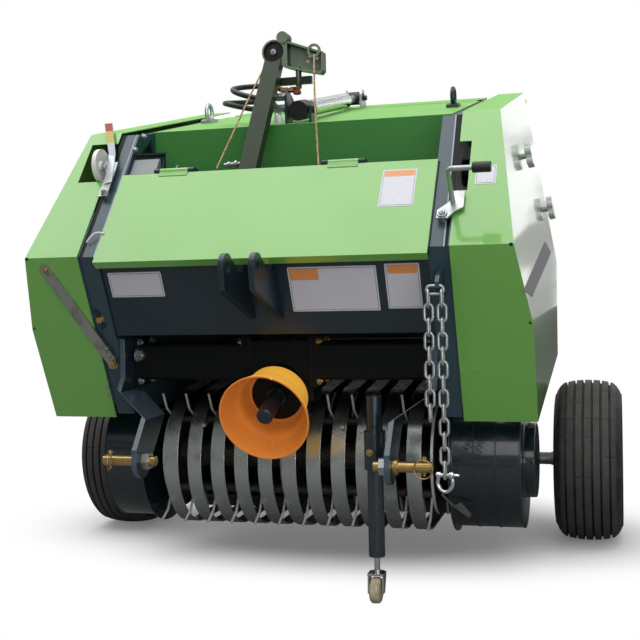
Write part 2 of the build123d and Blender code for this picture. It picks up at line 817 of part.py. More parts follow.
strand_pitch = link_length - 2 * link_rod + link_slack
link_reach = (link_length - link_rod) / 2
wire_drop = (link_wide - link_rod) / 2
top_link_z = chain_top - 1.4 - wire_drop
top_link_x = (chain_strands[0][0] + chain_strands[1][0]) / 2
first_link_z = top_link_z + link_slack - link_reach
with BuildPart() as chain:
    add(chain_link(Plane(origin=(top_link_x, axle_y + chain_y, top_link_z), x_dir=(0, 0, 1),
                         z_dir=(0, 1, 0))))
    for x, count in chain_strands:
        for i in range(count):
            flat = (1, 0, 0) if i % 2 else (0, 1, 0)
            through = (0, -1, 0) if i % 2 else (1, 0, 0)
            z = first_link_z - i * strand_pitch
            add(chain_link(Plane(origin=(x, axle_y + chain_y, z), x_dir=flat, z_dir=through)))
    last_link_z = first_link_z - (chain_strands[1][1] - 1) * strand_pitch
    shackle_z = last_link_z - link_reach + link_rod / 2 + shackle_pin + link_slack
    shackle_x = chain_strands[1][0]
    bow_plane = Plane(origin=(shackle_x, axle_y + chain_y, shackle_z), x_dir=(1, 0, 0), z_dir=(0, -1, 0))
    with BuildLine(bow_plane) as bow:
        Polyline(
            (-shackle_half, 4), (-shackle_half - 2, -shackle_drop * 0.4), (-shackle_half + 4, -shackle_drop * 0.85),
            (0, -shackle_drop), (shackle_half - 4, -shackle_drop * 0.85), (shackle_half + 2, -shackle_drop * 0.4),
            (shackle_half, 4))
    with BuildSketch(Plane(origin=bow.line @ 0, z_dir=bow.line % 0)):
        RegularPolygon(shackle_rod / 2, 6)
    sweep(path=bow.wires()[0], transition=Transition.RIGHT)
    with BuildSketch(Plane(origin=(shackle_x - shackle_half - 5, axle_y + chain_y, shackle_z),
                           x_dir=(0, 1, 0), z_dir=(1, 0, 0))):
        Circle(shackle_pin)
    extrude(amount=2 * shackle_half + 12)
    with BuildSketch(bow_plane.offset(-2)):
        with Locations((shackle_half + 13, 0)):
            Circle(8)
            Circle(3.5, mode=Mode.SUBTRACT)
    extrude(amount=4)
write(chain, "chain")

# stripper bands, joined by their front and rear bars
band_half = (band_count - 1) / 2 * band_pitch
with BuildPart() as stripper_bands:
    for i in range(band_count):
        x = -band_half + i * band_pitch - band_wide / 2
        with BuildSketch(side(x)):
            with BuildLine():
                Line((reel_y + 150, reel_z + band_radius + 18), (reel_y, reel_z + band_radius))
                ThreePointArc(
                    (reel_y, reel_z + band_radius), (reel_y - band_radius, reel_z),
                    (reel_y, reel_z - band_radius))
                Line((reel_y, reel_z - band_radius), (reel_y + 160, reel_z - band_radius))
                Line((reel_y + 160, reel_z - band_radius),
                     (reel_y + 160, reel_z - band_radius + band_thick))
                Line((reel_y + 160, reel_z - band_radius + band_thick),
                     (reel_y, reel_z - band_radius + band_thick))
                ThreePointArc(
                    (reel_y, reel_z - band_radius + band_thick),
                    (reel_y - band_radius + band_thick, reel_z),
                    (reel_y, reel_z + band_radius - band_thick))
                Line((reel_y, reel_z + band_radius - band_thick),
                     (reel_y + 150, reel_z + band_radius + 18 - band_thick))
                Line((reel_y + 150, reel_z + band_radius + 18 - band_thick),
                     (reel_y + 150, reel_z + band_radius + 18))
            make_face()
        extrude(amount=band_wide)
    with BuildSketch(side(-chamber_half + 2)):
        with Locations((reel_y + 168, reel_z - band_radius + 8)):
            Rectangle(16, 16)
    extrude(amount=2 * chamber_half - 4)
write(stripper_bands, "stripper_bands")

# feed floor from the top of the bands to the floor roller, with the curved pan behind the reel
pan_radius, pan_thick, pan_low, pan_high = 212.0, 4.0, -39.5, 44.0
floor_y, floor_z = on_ring(270, roller_at)
with BuildPart() as feed_floor:
    with BuildSketch(side(-chamber_half)):
        with BuildLine():
            Polyline(
                (reel_y + 150, reel_z + band_radius + 18),
                (reel_y + 150, reel_z + band_radius - 8),
                (floor_y - 20, floor_z - roller_radius - 22),
                (floor_y + 60, floor_z - roller_radius - 12),
                (floor_y + 60, floor_z - roller_radius - 8),
                (floor_y - 20, floor_z - roller_radius - 18),
                (floor_y - 76, floor_z - 34),
                (reel_y + 154, reel_z + band_radius + 18),
                close=True,
            )
        make_face()
        with BuildLine():
            for radius in (pan_radius, pan_radius + pan_thick):
                CenterArc((reel_y, reel_z), radius, pan_low, pan_high - pan_low)
            for turn in (pan_low, pan_high):
                Line(*[
                    (reel_y + radius * math.cos(rad(turn)), reel_z + radius * math.sin(rad(turn)))
                    for radius in (pan_radius, pan_radius + pan_thick)])
        make_face()
        with Locations((reel_y + 153, reel_z + 153)):
            Rectangle(5, 14)
    extrude(amount=2 * chamber_half)
write(feed_floor, "feed_floor")

# pickup reel with bent tines that sweep between the bands
with BuildPart() as tine:
    with BuildLine() as bend:
        Polyline(*[
            (0, radius * math.cos(rad(ahead)), radius * math.sin(rad(ahead)))
            for radius, ahead in ((tine_bar_at, 0), (tine_knee, 7), (tine_reach, 4))])
    with BuildSketch(Plane(origin=bend.line @ 0, z_dir=bend.line % 0)):
        RegularPolygon(tine_radius, 6)
    sweep(path=bend.wires()[0], transition=Transition.RIGHT)
with BuildPart() as pickup_reel:
    with BuildSketch(side(-reel_half)):
        with Locations((reel_y, reel_z)):
            Circle(30)
    extrude(amount=2 * reel_half)
    for x in (-reel_half, -band_pitch / 2 - 3, reel_half - 6):
        with BuildSketch(side(x)):
            with Locations((reel_y, reel_z)):
                Circle(tine_bar_at + 14)
        extrude(amount=6)
    for bar in range(4):
        with BuildSketch(side(-reel_half)):
            with Locations((reel_y + tine_bar_at * math.cos(rad(90 * bar + bar_turn)),
                            reel_z + tine_bar_at * math.sin(rad(90 * bar + bar_turn)))):
                Circle(9)
        extrude(amount=2 * reel_half)
    add([
        Location((-band_half + (i - 0.5) * band_pitch, axle_y + reel_y, reel_z), (90 * bar + bar_turn, 0, 0)) * tine.part
        for bar in range(4) for i in range(band_count + 1)])
    with BuildSketch(side(-chamber_half - 30)):
        with Locations((reel_y, reel_z)):
            Circle(reel_shaft)
    extrude(amount=2 * (chamber_half + 30))
write(pickup_reel, "pickup_reel")

# pickup end housings: a side plate under the frame's foot, and the round drive housing outside it
def pickup_housing(outer_x, cap_to):
    with BuildPart() as housing:
        with BuildSketch(side(chamber_half)):
            with Locations((reel_y, reel_z)):
                Circle(housing_radius + 12)
            with Locations((reel_y, foot_z + 100)):
                Rectangle(600, 200, mode=Mode.SUBTRACT)
        extrude(amount=plate)
        with BuildSketch(side(chamber_half + plate)):
            with Locations((reel_y, reel_z)):
                Circle(housing_radius)
            with Locations((reel_y + 20, reel_z + 90)):
                Rectangle(180, 80)
        extrude(amount=outer_x - chamber_half - plate)
        if cap_to > outer_x:
            with BuildSketch(side(outer_x)):
                with Locations((reel_y, reel_z)):
                    Circle(cap_radius)
            extrude(amount=cap_to - outer_x)
        with BuildSketch(side(chamber_half)):
            with Locations((reel_y, reel_z)):
                Circle(reel_shaft + bearing_fit)
        extrude(amount=40, mode=Mode.SUBTRACT)
    return housing


with BuildPart() as pickup_housing_right:
    add(pickup_housing(housing_right_x, cap_x).part)
write(pickup_housing_right, "pickup_housing_right")
with BuildPart() as pickup_housing_left:
    add(pickup_housing(-housing_left_x, -housing_left_x).part)
    mirror(about=Plane.YZ, mode=Mode.REPLACE)
write(pickup_housing_left, "pickup_housing_left")

# wheel brackets with stub axles
with BuildPart() as wheel_brackets:
    with BuildSketch(side(chamber_half + plate)):
        with BuildLine():
            Polyline((-130, 520), (12, 520), (45, 203), (30, 168), (-30, 168), (-60, 203), close=True)
        make_face()
    extrude(amount=12)
    with BuildSketch(side(chamber_half + plate + 12)):
        with Locations((0, tyre_radius)):
            Circle(24)
    extrude(amount=120)
    with BuildSketch(side(chamber_half + plate + 12)):
        with Locations((0, tyre_radius)):
            Circle(15)
    extrude(amount=wheel_x + 40 - chamber_half - plate - 12)
    mirror(about=Plane.YZ)
write(wheel_brackets, "wheel_brackets")

# wheels
for word, sign in (("left", -1), ("right", 1)):
    with BuildPart() as tyre:
        with BuildSketch(Plane(origin=(sign * wheel_x, axle_y, tyre_radius), x_dir=(1, 0, 0),
                               z_dir=(0, -1, 0))):
            with BuildLine():
                Polyline(
                    (-tyre_width / 2 + 14, rim_radius + 1), (-tyre_width / 2, rim_radius + 40),
                    (-tyre_width / 2 + 8, tyre_radius - 24), (-tyre_width / 2 + 22, tyre_radius - 4),
                    (-tyre_width / 2 + 40, tyre_radius), (tyre_width / 2 - 40, tyre_radius),
                    (tyre_width / 2 - 22, tyre_radius - 4), (tyre_width / 2 - 8, tyre_radius - 24),
                    (tyre_width / 2, rim_radius + 40), (tyre_width / 2 - 14, rim_radius + 1),
                    close=True,
                )
            make_face()
        revolve(axis=Axis((sign * wheel_x, axle_y, tyre_radius), (1, 0, 0)))
    write(tyre, f"tyre_{word}")
    with BuildPart() as rim:
        with BuildSketch(Plane(origin=(sign * wheel_x, axle_y, tyre_radius), x_dir=(sign, 0, 0),
                               z_dir=(0, -sign, 0))):
            with BuildLine():
                Polyline(
                    (-tyre_width / 2 + 14, rim_radius + 1), (tyre_width / 2 - 14, rim_radius + 1),
                    (tyre_width / 2 - 14, rim_radius - 4), (30, rim_radius - 12), (30, 34), (42, 34),
                    (42, 15.05), (-42, 15.05), (-42, 34), (20, 34), (20, rim_radius - 12),
                    (-tyre_width / 2 + 14, rim_radius - 4),
                    close=True,
                )
            make_face()
        revolve(axis=Axis((sign * wheel_x, axle_y, tyre_radius), (1, 0, 0)))
    write(rim, f"rim_{word}")

# jockey stand
stand_plane = Plane(origin=(stand_x, axle_y + stand_y, 0))
with BuildPart() as stand_sleeve:
    with BuildSketch(stand_plane.offset(sleeve_foot)):
        Circle(sleeve_radius)
    extrude(amount=sleeve_top - sleeve_foot)
    with BuildSketch(Plane(origin=(0, axle_y, sleeve_foot + 10))):
        with BuildLine():
            Polyline(
                (stand_x + 10, stand_y - 8), (stand_x + 10, stand_y + 8), (hitch_x - 6, stand_y - 28),
                (hitch_x - 6, stand_y - 74), close=True)
        make_face()
    extrude(amount=40)
    with BuildSketch(stand_plane.offset(sleeve_foot)):
        Circle(leg_radius + slide_fit)
    extrude(amount=sleeve_top - sleeve_foot, mode=Mode.SUBTRACT)
write(stand_sleeve, "stand_sleeve")
with BuildPart() as stand_leg:
    with BuildSketch(stand_plane.offset(leg_foot)):
        Circle(leg_radius)
        Circle(leg_radius - 4, mode=Mode.SUBTRACT)
    extrude(amount=leg_top - leg_foot)
    with BuildSketch(stand_plane.offset(leg_foot)):
        Circle(leg_radius)
        Circle(6 + bearing_fit, mode=Mode.SUBTRACT)
    extrude(amount=14)
write(stand_leg, "stand_leg")
with BuildPart() as caster_fork:
    with BuildSketch(stand_plane.offset(caster_radius * 2 + 6)):
        Circle(6)
    extrude(amount=leg_foot + 16 - caster_radius * 2 - 6)
    with BuildSketch(stand_plane.offset(caster_radius * 2 + 4)):
        Circle(16)
        with Locations((0, -caster_trail / 2)):
            Rectangle(caster_wide + 12, 30)
    extrude(amount=5)
    for s in (-1, 1):
        with BuildSketch(Plane(origin=(stand_x + s * (caster_wide / 2 + 3), axle_y + stand_y, 0),
                               x_dir=(0, 1, 0), z_dir=(1, 0, 0))):
            with BuildLine():
                Polyline(
                    (10, caster_radius * 2 + 4), (-20, caster_radius * 2 + 4),
                    (-caster_trail - 8, caster_radius - 6), (-caster_trail + 8, caster_radius - 6),
                    close=True)
            make_face()
        extrude(amount=s * 3)
    with BuildSketch(Plane(origin=(stand_x - caster_wide / 2 - 6, axle_y + stand_y - caster_trail,
                                   caster_radius), x_dir=(0, 1, 0), z_dir=(1, 0, 0))):
        Circle(4)
    extrude(amount=caster_wide + 12)
write(caster_fork, "caster_fork")
with BuildPart() as caster_wheel:
    with BuildSketch(Plane(origin=(stand_x - caster_wide / 2, axle_y + stand_y - caster_trail,
                                   caster_radius), x_dir=(0, 1, 0), z_dir=(1, 0, 0))):
        Circle(caster_radius)
        Circle(4.05, mode=Mode.SUBTRACT)
    extrude(amount=caster_wide)
    chamfer(caster_wheel.edges().filter_by(GeomType.CIRCLE).group_by(SortBy.RADIUS)[-1], length=4)
write(caster_wheel, "caster_wheel")

# chamber rollers
for name, angle in front_rollers + gate_rollers:
    y, z = on_ring(angle, roller_at)
    with BuildPart() as roller:
        with BuildSketch(side(-chamber_half + end_play)):
            with Locations((y, z)):
                Circle(roller_core)
        extrude(amount=2 * (chamber_half - end_play))
        with BuildSketch(side(-chamber_half + end_play)):
            with Locations((y, z)):
                with PolarLocations(roller_core, 8):
                    Rectangle(2 * (roller_radius - roller_core), 8)
        extrude(amount=2 * (chamber_half - end_play))
        reach = chamber_half + plate + 14
        with BuildSketch(side(-reach)):
            with Locations((y, z)):
                Circle(roller_shaft)
        extrude(amount=2 * reach)
    write(roller, f"roller_{name}")

# gate: side plates with hinge arms, joined by cross tubes
gate_front = part_line + gate_gap
gate_foot_deg = -math.degrees(math.acos((gate_front - chamber_y) / gate_radius))
gate_top_slope = math.tan(top_slope)
hood_y = hinge_y - 6
hood_z = top_edge_z + (hood_y - top_edge_y) * gate_top_slope


def hood_at(y):
    return hood_z + (y - hood_y) * gate_top_slope


eye_z = hood_at(eye_y) + eye_rise
gate_shoulder_y = chamber_y + gate_radius * math.sin(rad(35))
with BuildPart() as gate_frame:
    with BuildSketch(side(chamber_half)):
        with BuildLine():
            Line((gate_front, hood_at(gate_front) - sheet), on_ring(gate_foot_deg, gate_radius))
            ThreePointArc(
                on_ring(gate_foot_deg, gate_radius), on_ring(-20, gate_radius), on_ring(40, gate_radius))
            Line(on_ring(40, gate_radius), (gate_shoulder_y, hood_at(gate_shoulder_y) - sheet))
            Line((gate_shoulder_y, hood_at(gate_shoulder_y) - sheet), (gate_front, hood_at(gate_front) - sheet))
        make_face()
        with Locations((hinge_y, hinge_z)):
            Circle(34, mode=Mode.SUBTRACT)
    extrude(amount=plate)
    with BuildSketch(side(chamber_half + plate)):
        for name, angle in gate_rollers:
            with Locations(on_ring(angle, roller_at)):
                Circle(34)
        with Locations((hinge_y + 80, hinge_z - 8)):
            Rectangle(60, 40)
    extrude(amount=16)
    with BuildSketch(side(arm_x)):
        with Locations((hinge_y, hinge_z)):
            Circle(22)
        with Locations((hinge_y + 55, hinge_z - 4)):
            Rectangle(110, 36)
    extrude(amount=arm_thick)
    with BuildSketch(side(chamber_half + plate + 16)):
        with Locations((hinge_y + 80, hinge_z - 8)):
            Rectangle(60, 40)
    extrude(amount=arm_x - chamber_half - plate - 16)
    with BuildSketch(side(chamber_half)):
        with Locations((hinge_y, hinge_z)):
            Circle(hinge_pin)
    extrude(amount=arm_x - chamber_half + arm_thick)
    with BuildSketch(side(0)):
        for angle in (45, -15, -45):
            with Locations(on_ring(angle, gate_radius - 20)):
                Circle(16)
    extrude(amount=chamber_half)
    with BuildSketch(side(chamber_half)):
        for name, angle in gate_rollers:
            with Locations(on_ring(angle, roller_at)):
                Circle(roller_shaft + bearing_fit)
    extrude(amount=plate + 16, mode=Mode.SUBTRACT)
    mirror(about=Plane.YZ)
write(gate_frame, "gate_frame")

# gate hood: the green sheet over the top rollers, with the ram's bracket
with BuildPart() as gate_hood:
    with BuildSketch(side(-chamber_half + 6)):
        with BuildLine():
            Polyline(
                (hood_y, hood_z - sheet), (hood_y, hood_z),
                (gate_shoulder_y, hood_at(gate_shoulder_y)), on_ring(40, gate_radius + sheet),
                on_ring(40, gate_radius),
                (gate_shoulder_y - 0.5, hood_at(gate_shoulder_y) - sheet), close=True)
        make_face()
    extrude(amount=2 * chamber_half - 12)
    with BuildSketch(side(-chamber_half - plate)):
        with BuildLine():
            Polyline(
                (gate_front, hood_at(gate_front) - sheet), (gate_front, hood_at(gate_front)),
                (gate_shoulder_y, hood_at(gate_shoulder_y)), on_ring(40, gate_radius + sheet),
                on_ring(40, gate_radius),
                (gate_shoulder_y, hood_at(gate_shoulder_y) - sheet), close=True)
        make_face()
    extrude(amount=2 * (chamber_half + plate))
write(gate_hood, "gate_hood")
with BuildPart() as ram_bracket:
    for x in (-26, 20):
        with BuildSketch(side(x)):
            with BuildLine():
                Polyline(
                    (eye_y - 24, hood_at(eye_y - 24)), (eye_y - 24, eye_z + 8), (eye_y - 8, eye_z + 24),
                    (eye_y + 8, eye_z + 24), (eye_y + 24, eye_z + 8), (eye_y + 40, hood_at(eye_y + 40)),
                    close=True)
            make_face()
            with Locations((eye_y, eye_z)):
                Circle(14, mode=Mode.SUBTRACT)
        extrude(amount=6)
write(ram_bracket, "ram_bracket")

# green side covers of the gate
with BuildPart() as gate_covers:
    for inset, reach, mode in (
            (0, gate_cover_x - chamber_half - plate, Mode.ADD),
            (cover_skin, gate_cover_x - chamber_half - plate - cover_skin, Mode.SUBTRACT)):
        cover_foot = cover_rear_z + 30 + inset
        cover_front = gate_cover_y if inset == 0 else gate_cover_y - 1
        with BuildSketch(side(chamber_half + plate)):
            with BuildLine():
                Line((cover_front, hood_at(gate_cover_y) - 12 - inset), (cover_front, cover_foot))
                Line((cover_front, cover_foot), (gate_cover_y + 60 - inset, cover_foot))
                ThreePointArc((gate_cover_y + 60 - inset, cover_foot), on_ring(-10, gate_radius - inset),
                              on_ring(40, gate_radius - inset))
                Line(on_ring(40, gate_radius - inset), (cover_front, hood_at(gate_cover_y) - 12 - inset))
            make_face()
        extrude(amount=reach, mode=mode)
    mirror(about=Plane.YZ)
write(gate_covers, "gate_covers")

# gate ram: barrel with its front lug, and rod with the eye
ram_angle = math.degrees(math.atan2(eye_z - ram_z, eye_y - ram_y))
ram_reach = math.hypot(eye_z - ram_z, eye_y - ram_y)
ram_dir = (0, math.cos(rad(ram_angle)), math.sin(rad(ram_angle)))
ram_plane = Plane(origin=(0, axle_y + ram_y, ram_z), x_dir=(1, 0, 0), z_dir=ram_dir)
with BuildPart() as ram_barrel:
    with BuildSketch(ram_plane.offset(34)):
        Circle(ram_radius)
    extrude(amount=ram_length - 34)
    with BuildSketch(ram_plane.offset(-22)):
        Circle(ram_radius + 3)
    extrude(amount=56)
    with BuildSketch(side(-30)):
        with Locations((ram_y, ram_z)):
            Circle(8 + bearing_fit)
    extrude(amount=60, mode=Mode.SUBTRACT)
    with BuildSketch(ram_plane.offset(120)):
        Circle(rod_radius + bearing_fit)
    extrude(amount=ram_length, mode=Mode.SUBTRACT)
write(ram_barrel, "ram_barrel")
with BuildPart() as ram_rod:
    with BuildSketch(ram_plane.offset(190)):
        Circle(rod_radius)
    extrude(amount=ram_reach - 190 - 12)
    with BuildSketch(side(-14)):
        with Locations((eye_y, eye_z)):
            Circle(18)
    extrude(amount=28)
    with BuildSketch(side(-36)):
        with Locations((eye_y, eye_z)):
            Circle(7)
    extrude(amount=72)
write(ram_rod, "ram_rod")
with BuildPart() as ram_foot:
    y0, y1 = ram_y - 22, ram_y + 22
    for x, top in ((-32, ports[0][1] + 12), (26, ram_z + 18)):
        with BuildSketch(side(x)):
            with BuildLine():
                Polyline(
                    (y0, sheet_at(y0)), (y0, top - 12), (y0 + 8, top), (y1 - 14, top), (y1 - 6, top - 12),
                    (y1, sheet_at(y1)), close=True)
            make_face()
        extrude(amount=6)
    with BuildSketch(side(-38)):
        with Locations((ram_y, ram_z)):
            Circle(8)
    extrude(amount=76)
    for place in ports:
        with BuildSketch(side(-32)):
            with Locations(place):
                RegularPolygon(10, 6)
        extrude(amount=port_x)

# hoses of the ram, each looping from its port to a gland in the top sheet
hose_paths = {
    "hose_upper": [
        (-66, -402, 1106), (-102, -402, 1106), (-144, -396, 1118), (-178, -372, 1134), (-187, -332, 1147),
        (-160, -294, 1156), (-116, -276, 1158), (-74, -282, 1144), (-50, -298, 1114), (-44, -303, 1078)],
    "hose_lower": [
        (-66, -398, 1080), (-106, -398, 1080), (-152, -394, 1091), (-193, -374, 1104), (-213, -332, 1113),
        (-196, -292, 1119), (-154, -275, 1121), (-112, -287, 1117), (-84, -314, 1102), (-76, -332, 1070)],
}
for name, points in hose_paths.items():
    points = [(x, axle_y + y, z) for x, y, z in points]
    runs = [math.dist(a, b) for a, b in zip(points, points[1:])]
    radii = []
    for i in range(1, len(points) - 1):
        into = (Vector(*points[i]) - Vector(*points[i - 1])).normalized()
        out = (Vector(*points[i + 1]) - Vector(*points[i])).normalized()
        turn = math.acos(into.dot(out))
        radii.append(0.45 * min(runs[i - 1], runs[i]) / math.tan(turn / 2))
    print(name, "runs", [round(r) for r in runs], "radii", [round(r) for r in radii])
    with BuildPart() as hose:
        with BuildLine() as path:
            FilletPolyline(*points, radius=radii)
        with BuildSketch(Plane(origin=path.line @ 0, z_dir=path.line % 0)):
            Circle(hose_radius)
        sweep(path=path.wires()[0])
    print(name, "volume", round(hose.part.volume),
          "section by length", round(math.pi * hose_radius ** 2 * path.wires()[0].length))
    write(hose, name)

# the ram's foot also holds the glands that carry the far ends of the hoses
with BuildPart() as hose_glands:
    for points in hose_paths.values():
        x, y, z = points[-1]
        past = Vector(*points[-1]) - Vector(*points[-2])
        with BuildSketch(Plane(origin=(x, axle_y + y, z), z_dir=past)):
            RegularPolygon(hose_radius + 4, 6)
        extrude(amount=30)
    split(bisect_by=Plane(origin=(0, axle_y + box_rear_y, box_top_z),
                          z_dir=(0, -math.sin(top_slope), math.cos(top_slope))), keep=Keep.TOP)
with ram_foot:
    add(hose_glands.part)
write(ram_foot, "ram_foot")

# twine mast with its head: pulley cup, open housing, eyelet, top roller and the bar below
head_front, head_rear = mast_top_y - 10, mast_top_y + 20
cup_z = mast_top_z + 16
mast_lean = math.degrees(math.atan2(mast_top_y - mast_foot_y, mast_top_z - mast_foot_z))
mast_dir = (0, math.sin(rad(mast_lean)), math.cos(rad(mast_lean)))
mast_plane = Plane(origin=(mast_x, axle_y + mast_foot_y, mast_foot_z), x_dir=(1, 0, 0), z_dir=mast_dir)
mast_length = math.hypot(mast_top_y - mast_foot_y, mast_top_z - mast_foot_z)


def upright(y):
    # a plane that faces the front: its first axis runs right, its second axis up
    return Plane(origin=(0, axle_y + y, 0), x_dir=(1, 0, 0), z_dir=(0, -1, 0))


with BuildPart() as mast:
    with BuildSketch(mast_plane.offset(-20)):
        Rectangle(mast_wide, 24)
        with Locations((0, 4)):
            Rectangle(mast_wide - 8, 20, mode=Mode.SUBTRACT)
    extrude(amount=mast_length + 20)
    split(bisect_by=Plane(origin=(0, 0, rail_top)), keep=Keep.TOP)
    with BuildSketch(upright(head_rear - 8)):
        with Locations((mast_x, cup_z)):
            Circle(29)
    extrude(amount=20)
    with BuildSketch(upright(head_rear)):
        with BuildLine():
            Polyline(
                (mast_x + 4, cup_z + 24), (mast_x + 38, cup_z + 22), (mast_x + 108, cup_z - 4),
                (mast_x + 120, cup_z - 8), (mast_x + 120, cup_z - 51), (mast_x + 113, cup_z - 58),
                (mast_x + 48, cup_z - 44), (mast_x + 20, cup_z - 34), close=True)
        make_face()
    extrude(amount=head_rear - head_front)
    with BuildSketch(upright(head_rear - 4)):
        with BuildLine():
            Polyline(
                (mast_x + 34, cup_z + 18), (mast_x + 108, cup_z - 9), (mast_x + 116, cup_z - 11),
                (mast_x + 116, cup_z - 49), (mast_x + 111, cup_z - 53), (mast_x + 48, cup_z - 39),
                (mast_x + 34, cup_z - 35), close=True)
        make_face()
    extrude(amount=head_rear - head_front, mode=Mode.SUBTRACT)
    with BuildSketch(upright(head_rear - 12)):
        with Locations((mast_x, cup_z)):
            Circle(25)
    extrude(amount=40, mode=Mode.SUBTRACT)
    with BuildSketch(upright(head_rear - 8)):
        with Locations((mast_x, cup_z)):
            Circle(5)
    extrude(amount=24)
    with BuildSketch(upright(head_front)):
        with Locations((mast_x + 100, cup_z - 5)):
            Circle(16)
            Circle(10, mode=Mode.SUBTRACT)
    extrude(amount=5)
    with BuildSketch(upright(head_rear)):
        with Locations((mast_x + 23, cup_z + 32)):
            Circle(14)
    extrude(amount=head_rear - head_front + 3)
    with BuildSketch(Plane.XY.offset(cup_z - 88)):
        with Locations((mast_x + 58, axle_y + mast_top_y)):
            Circle(7)
    extrude(amount=48)
    with BuildSketch(upright(mast_top_y + 5)):
        with Locations((mast_x + 42, cup_z - 70)):
            Rectangle(97, 18)
    extrude(amount=10)
write(mast, "mast")
with BuildPart() as mast_pulley:
    with BuildSketch(upright(head_rear - 13)):
        with Locations((mast_x, cup_z)):
            Circle(22)
            Circle(5 + bearing_fit, mode=Mode.SUBTRACT)
    extrude(amount=9)
write(mast_pulley, "mast_pulley")

# lifting eyes on their pads
lift_z = sheet_at(lift_y)
with BuildPart() as lifting_eyes:
    with BuildSketch(Plane(origin=(eye_x, axle_y + lift_y, lift_z + 26), x_dir=(0, 1, 0), z_dir=(0, 0, 1))):
        with Locations((20, 0)):
            RegularPolygon(5.4, 8)
    revolve(axis=Axis((eye_x, axle_y + lift_y, lift_z + 26), (1, 0, 0)))
    with BuildSketch(side(eye_x - 15)):
        with BuildLine():
            Polyline(
                (lift_y - 25, lift_z - 25 * math.tan(top_slope)), (lift_y - 25, lift_z + 3),
                (lift_y - 9, lift_z + 9), (lift_y + 9, lift_z + 10), (lift_y + 25, lift_z + 9),
                (lift_y + 25, lift_z + 25 * math.tan(top_slope)), close=True)
        make_face()
    extrude(amount=30)
    mirror(about=Plane.YZ)
write(lifting_eyes, "lifting_eyes")
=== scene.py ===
import json
import math

import bmesh
import bpy
from mathutils import Matrix, Vector


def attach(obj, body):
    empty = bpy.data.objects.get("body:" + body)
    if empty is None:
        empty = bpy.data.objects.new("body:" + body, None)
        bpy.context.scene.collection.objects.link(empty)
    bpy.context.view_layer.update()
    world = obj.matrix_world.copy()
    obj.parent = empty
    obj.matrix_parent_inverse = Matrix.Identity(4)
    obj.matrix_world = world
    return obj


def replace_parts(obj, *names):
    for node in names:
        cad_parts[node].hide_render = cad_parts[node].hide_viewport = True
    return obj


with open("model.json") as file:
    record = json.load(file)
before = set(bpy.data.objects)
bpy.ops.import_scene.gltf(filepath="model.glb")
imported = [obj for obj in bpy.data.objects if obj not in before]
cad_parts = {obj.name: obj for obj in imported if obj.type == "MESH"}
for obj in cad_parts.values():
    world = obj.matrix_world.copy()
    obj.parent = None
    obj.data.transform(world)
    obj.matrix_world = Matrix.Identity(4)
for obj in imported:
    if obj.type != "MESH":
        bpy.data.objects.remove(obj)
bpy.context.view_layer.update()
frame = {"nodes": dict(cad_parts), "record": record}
nodeBody = {name: body for body, names in frame["record"]["behaviour"]["bodies"].items() for name in names}
print("frame loaded:", len(frame["nodes"]), "nodes")

# camera, at the photograph's angle
camera = {"lens": 60.8, "place": (0.702, -2.611, 0.671), "yaw": 15.3, "pitch": 2.0, "roll": -1.3}


def addCamera(setup):
    yaw, pitch, roll = (math.radians(setup[key]) for key in ("yaw", "pitch", "roll"))
    forward = Vector((-math.sin(yaw) * math.cos(pitch), math.cos(yaw) * math.cos(pitch), -math.sin(pitch)))
    level = Vector((math.cos(yaw), math.sin(yaw), 0))
    upright = level.cross(forward)
    right = math.cos(roll) * level + math.sin(roll) * upright
    up = -math.sin(roll) * level + math.cos(roll) * upright
    data = bpy.data.cameras.new("photoCamera")
    data.lens = setup["lens"]
    data.sensor_width = 36
    data.clip_start = 0.01
    obj = bpy.data.objects.new("photoCamera", data)
    turned = Matrix((right, up, -forward)).transposed().to_4x4()
    obj.matrix_world = Matrix.Translation(setup["place"]) @ turned
    bpy.context.scene.collection.objects.link(obj)
    bpy.context.scene.camera = obj


addCamera(camera)
print("camera set")

# places: millimetres from the wheel axle's foot, and the planes of the sloping panels
axleY = 226.0
nose = (-765.0, 736.0)
slopeAngle, frontAngle = math.radians(50.7), math.atan2(167, 361)
wheel = {"x": 633.0, "z": 203.0}
reel = {"y": -400, "z": 265, "tineCircle": 122}
guard = {"y": -625, "z": 433.5, "droop": 21, "inside": 80}
rightward, leftward, backward, frontward, upward = (1, 0, 0), (-1, 0, 0), (0, 1, 0), (0, -1, 0), (0, 0, 1)


def at(x, y, z):
    return Vector((x, y + axleY, z)) / 1000


def planeAt(origin, right, normal):
    # millimetres in, metres out: first axis right, third axis out of the plane
    normal, right = Vector(normal).normalized(), Vector(right)
    right = (right - normal * right.dot(normal)).normalized()
    turned = Matrix((right, normal.cross(right), normal)).transposed().to_4x4()
    return Matrix.Translation(origin) @ turned @ Matrix.Scale(0.001, 4)


def offsetPlane(plane, x, y, out=0.0, turn=0.0):
    return plane @ Matrix.Translation((x, y, out)) @ Matrix.Rotation(math.radians(turn), 4, "Z")


slope = planeAt(at(0, *nose), rightward, (0, -math.sin(slopeAngle), math.cos(slopeAngle)))
front = planeAt(at(0, *nose), rightward, (0, -math.cos(frontAngle), -math.sin(frontAngle)))
sidePanel = planeAt(at(547, -679, 583), backward, (0.9848, -0.02567, 0.17174))


# shader nodes
def addNode(tree, kind, sockets=None, **settings):
    made = tree.nodes.new(kind)
    for key, value in settings.items():
        setattr(made, key, value)
    for key, value in (sockets or {}).items():
        if isinstance(value, bpy.types.NodeSocket):
            tree.links.new(value, made.inputs[key])
        else:
            made.inputs[key].default_value = value
    return made


def placeOf(tree, kind="Object"):
    return addNode(tree, "ShaderNodeTexCoord").outputs[kind]


def axesOf(tree, kind="Object"):
    return addNode(tree, "ShaderNodeSeparateXYZ", {0: placeOf(tree, kind)}).outputs


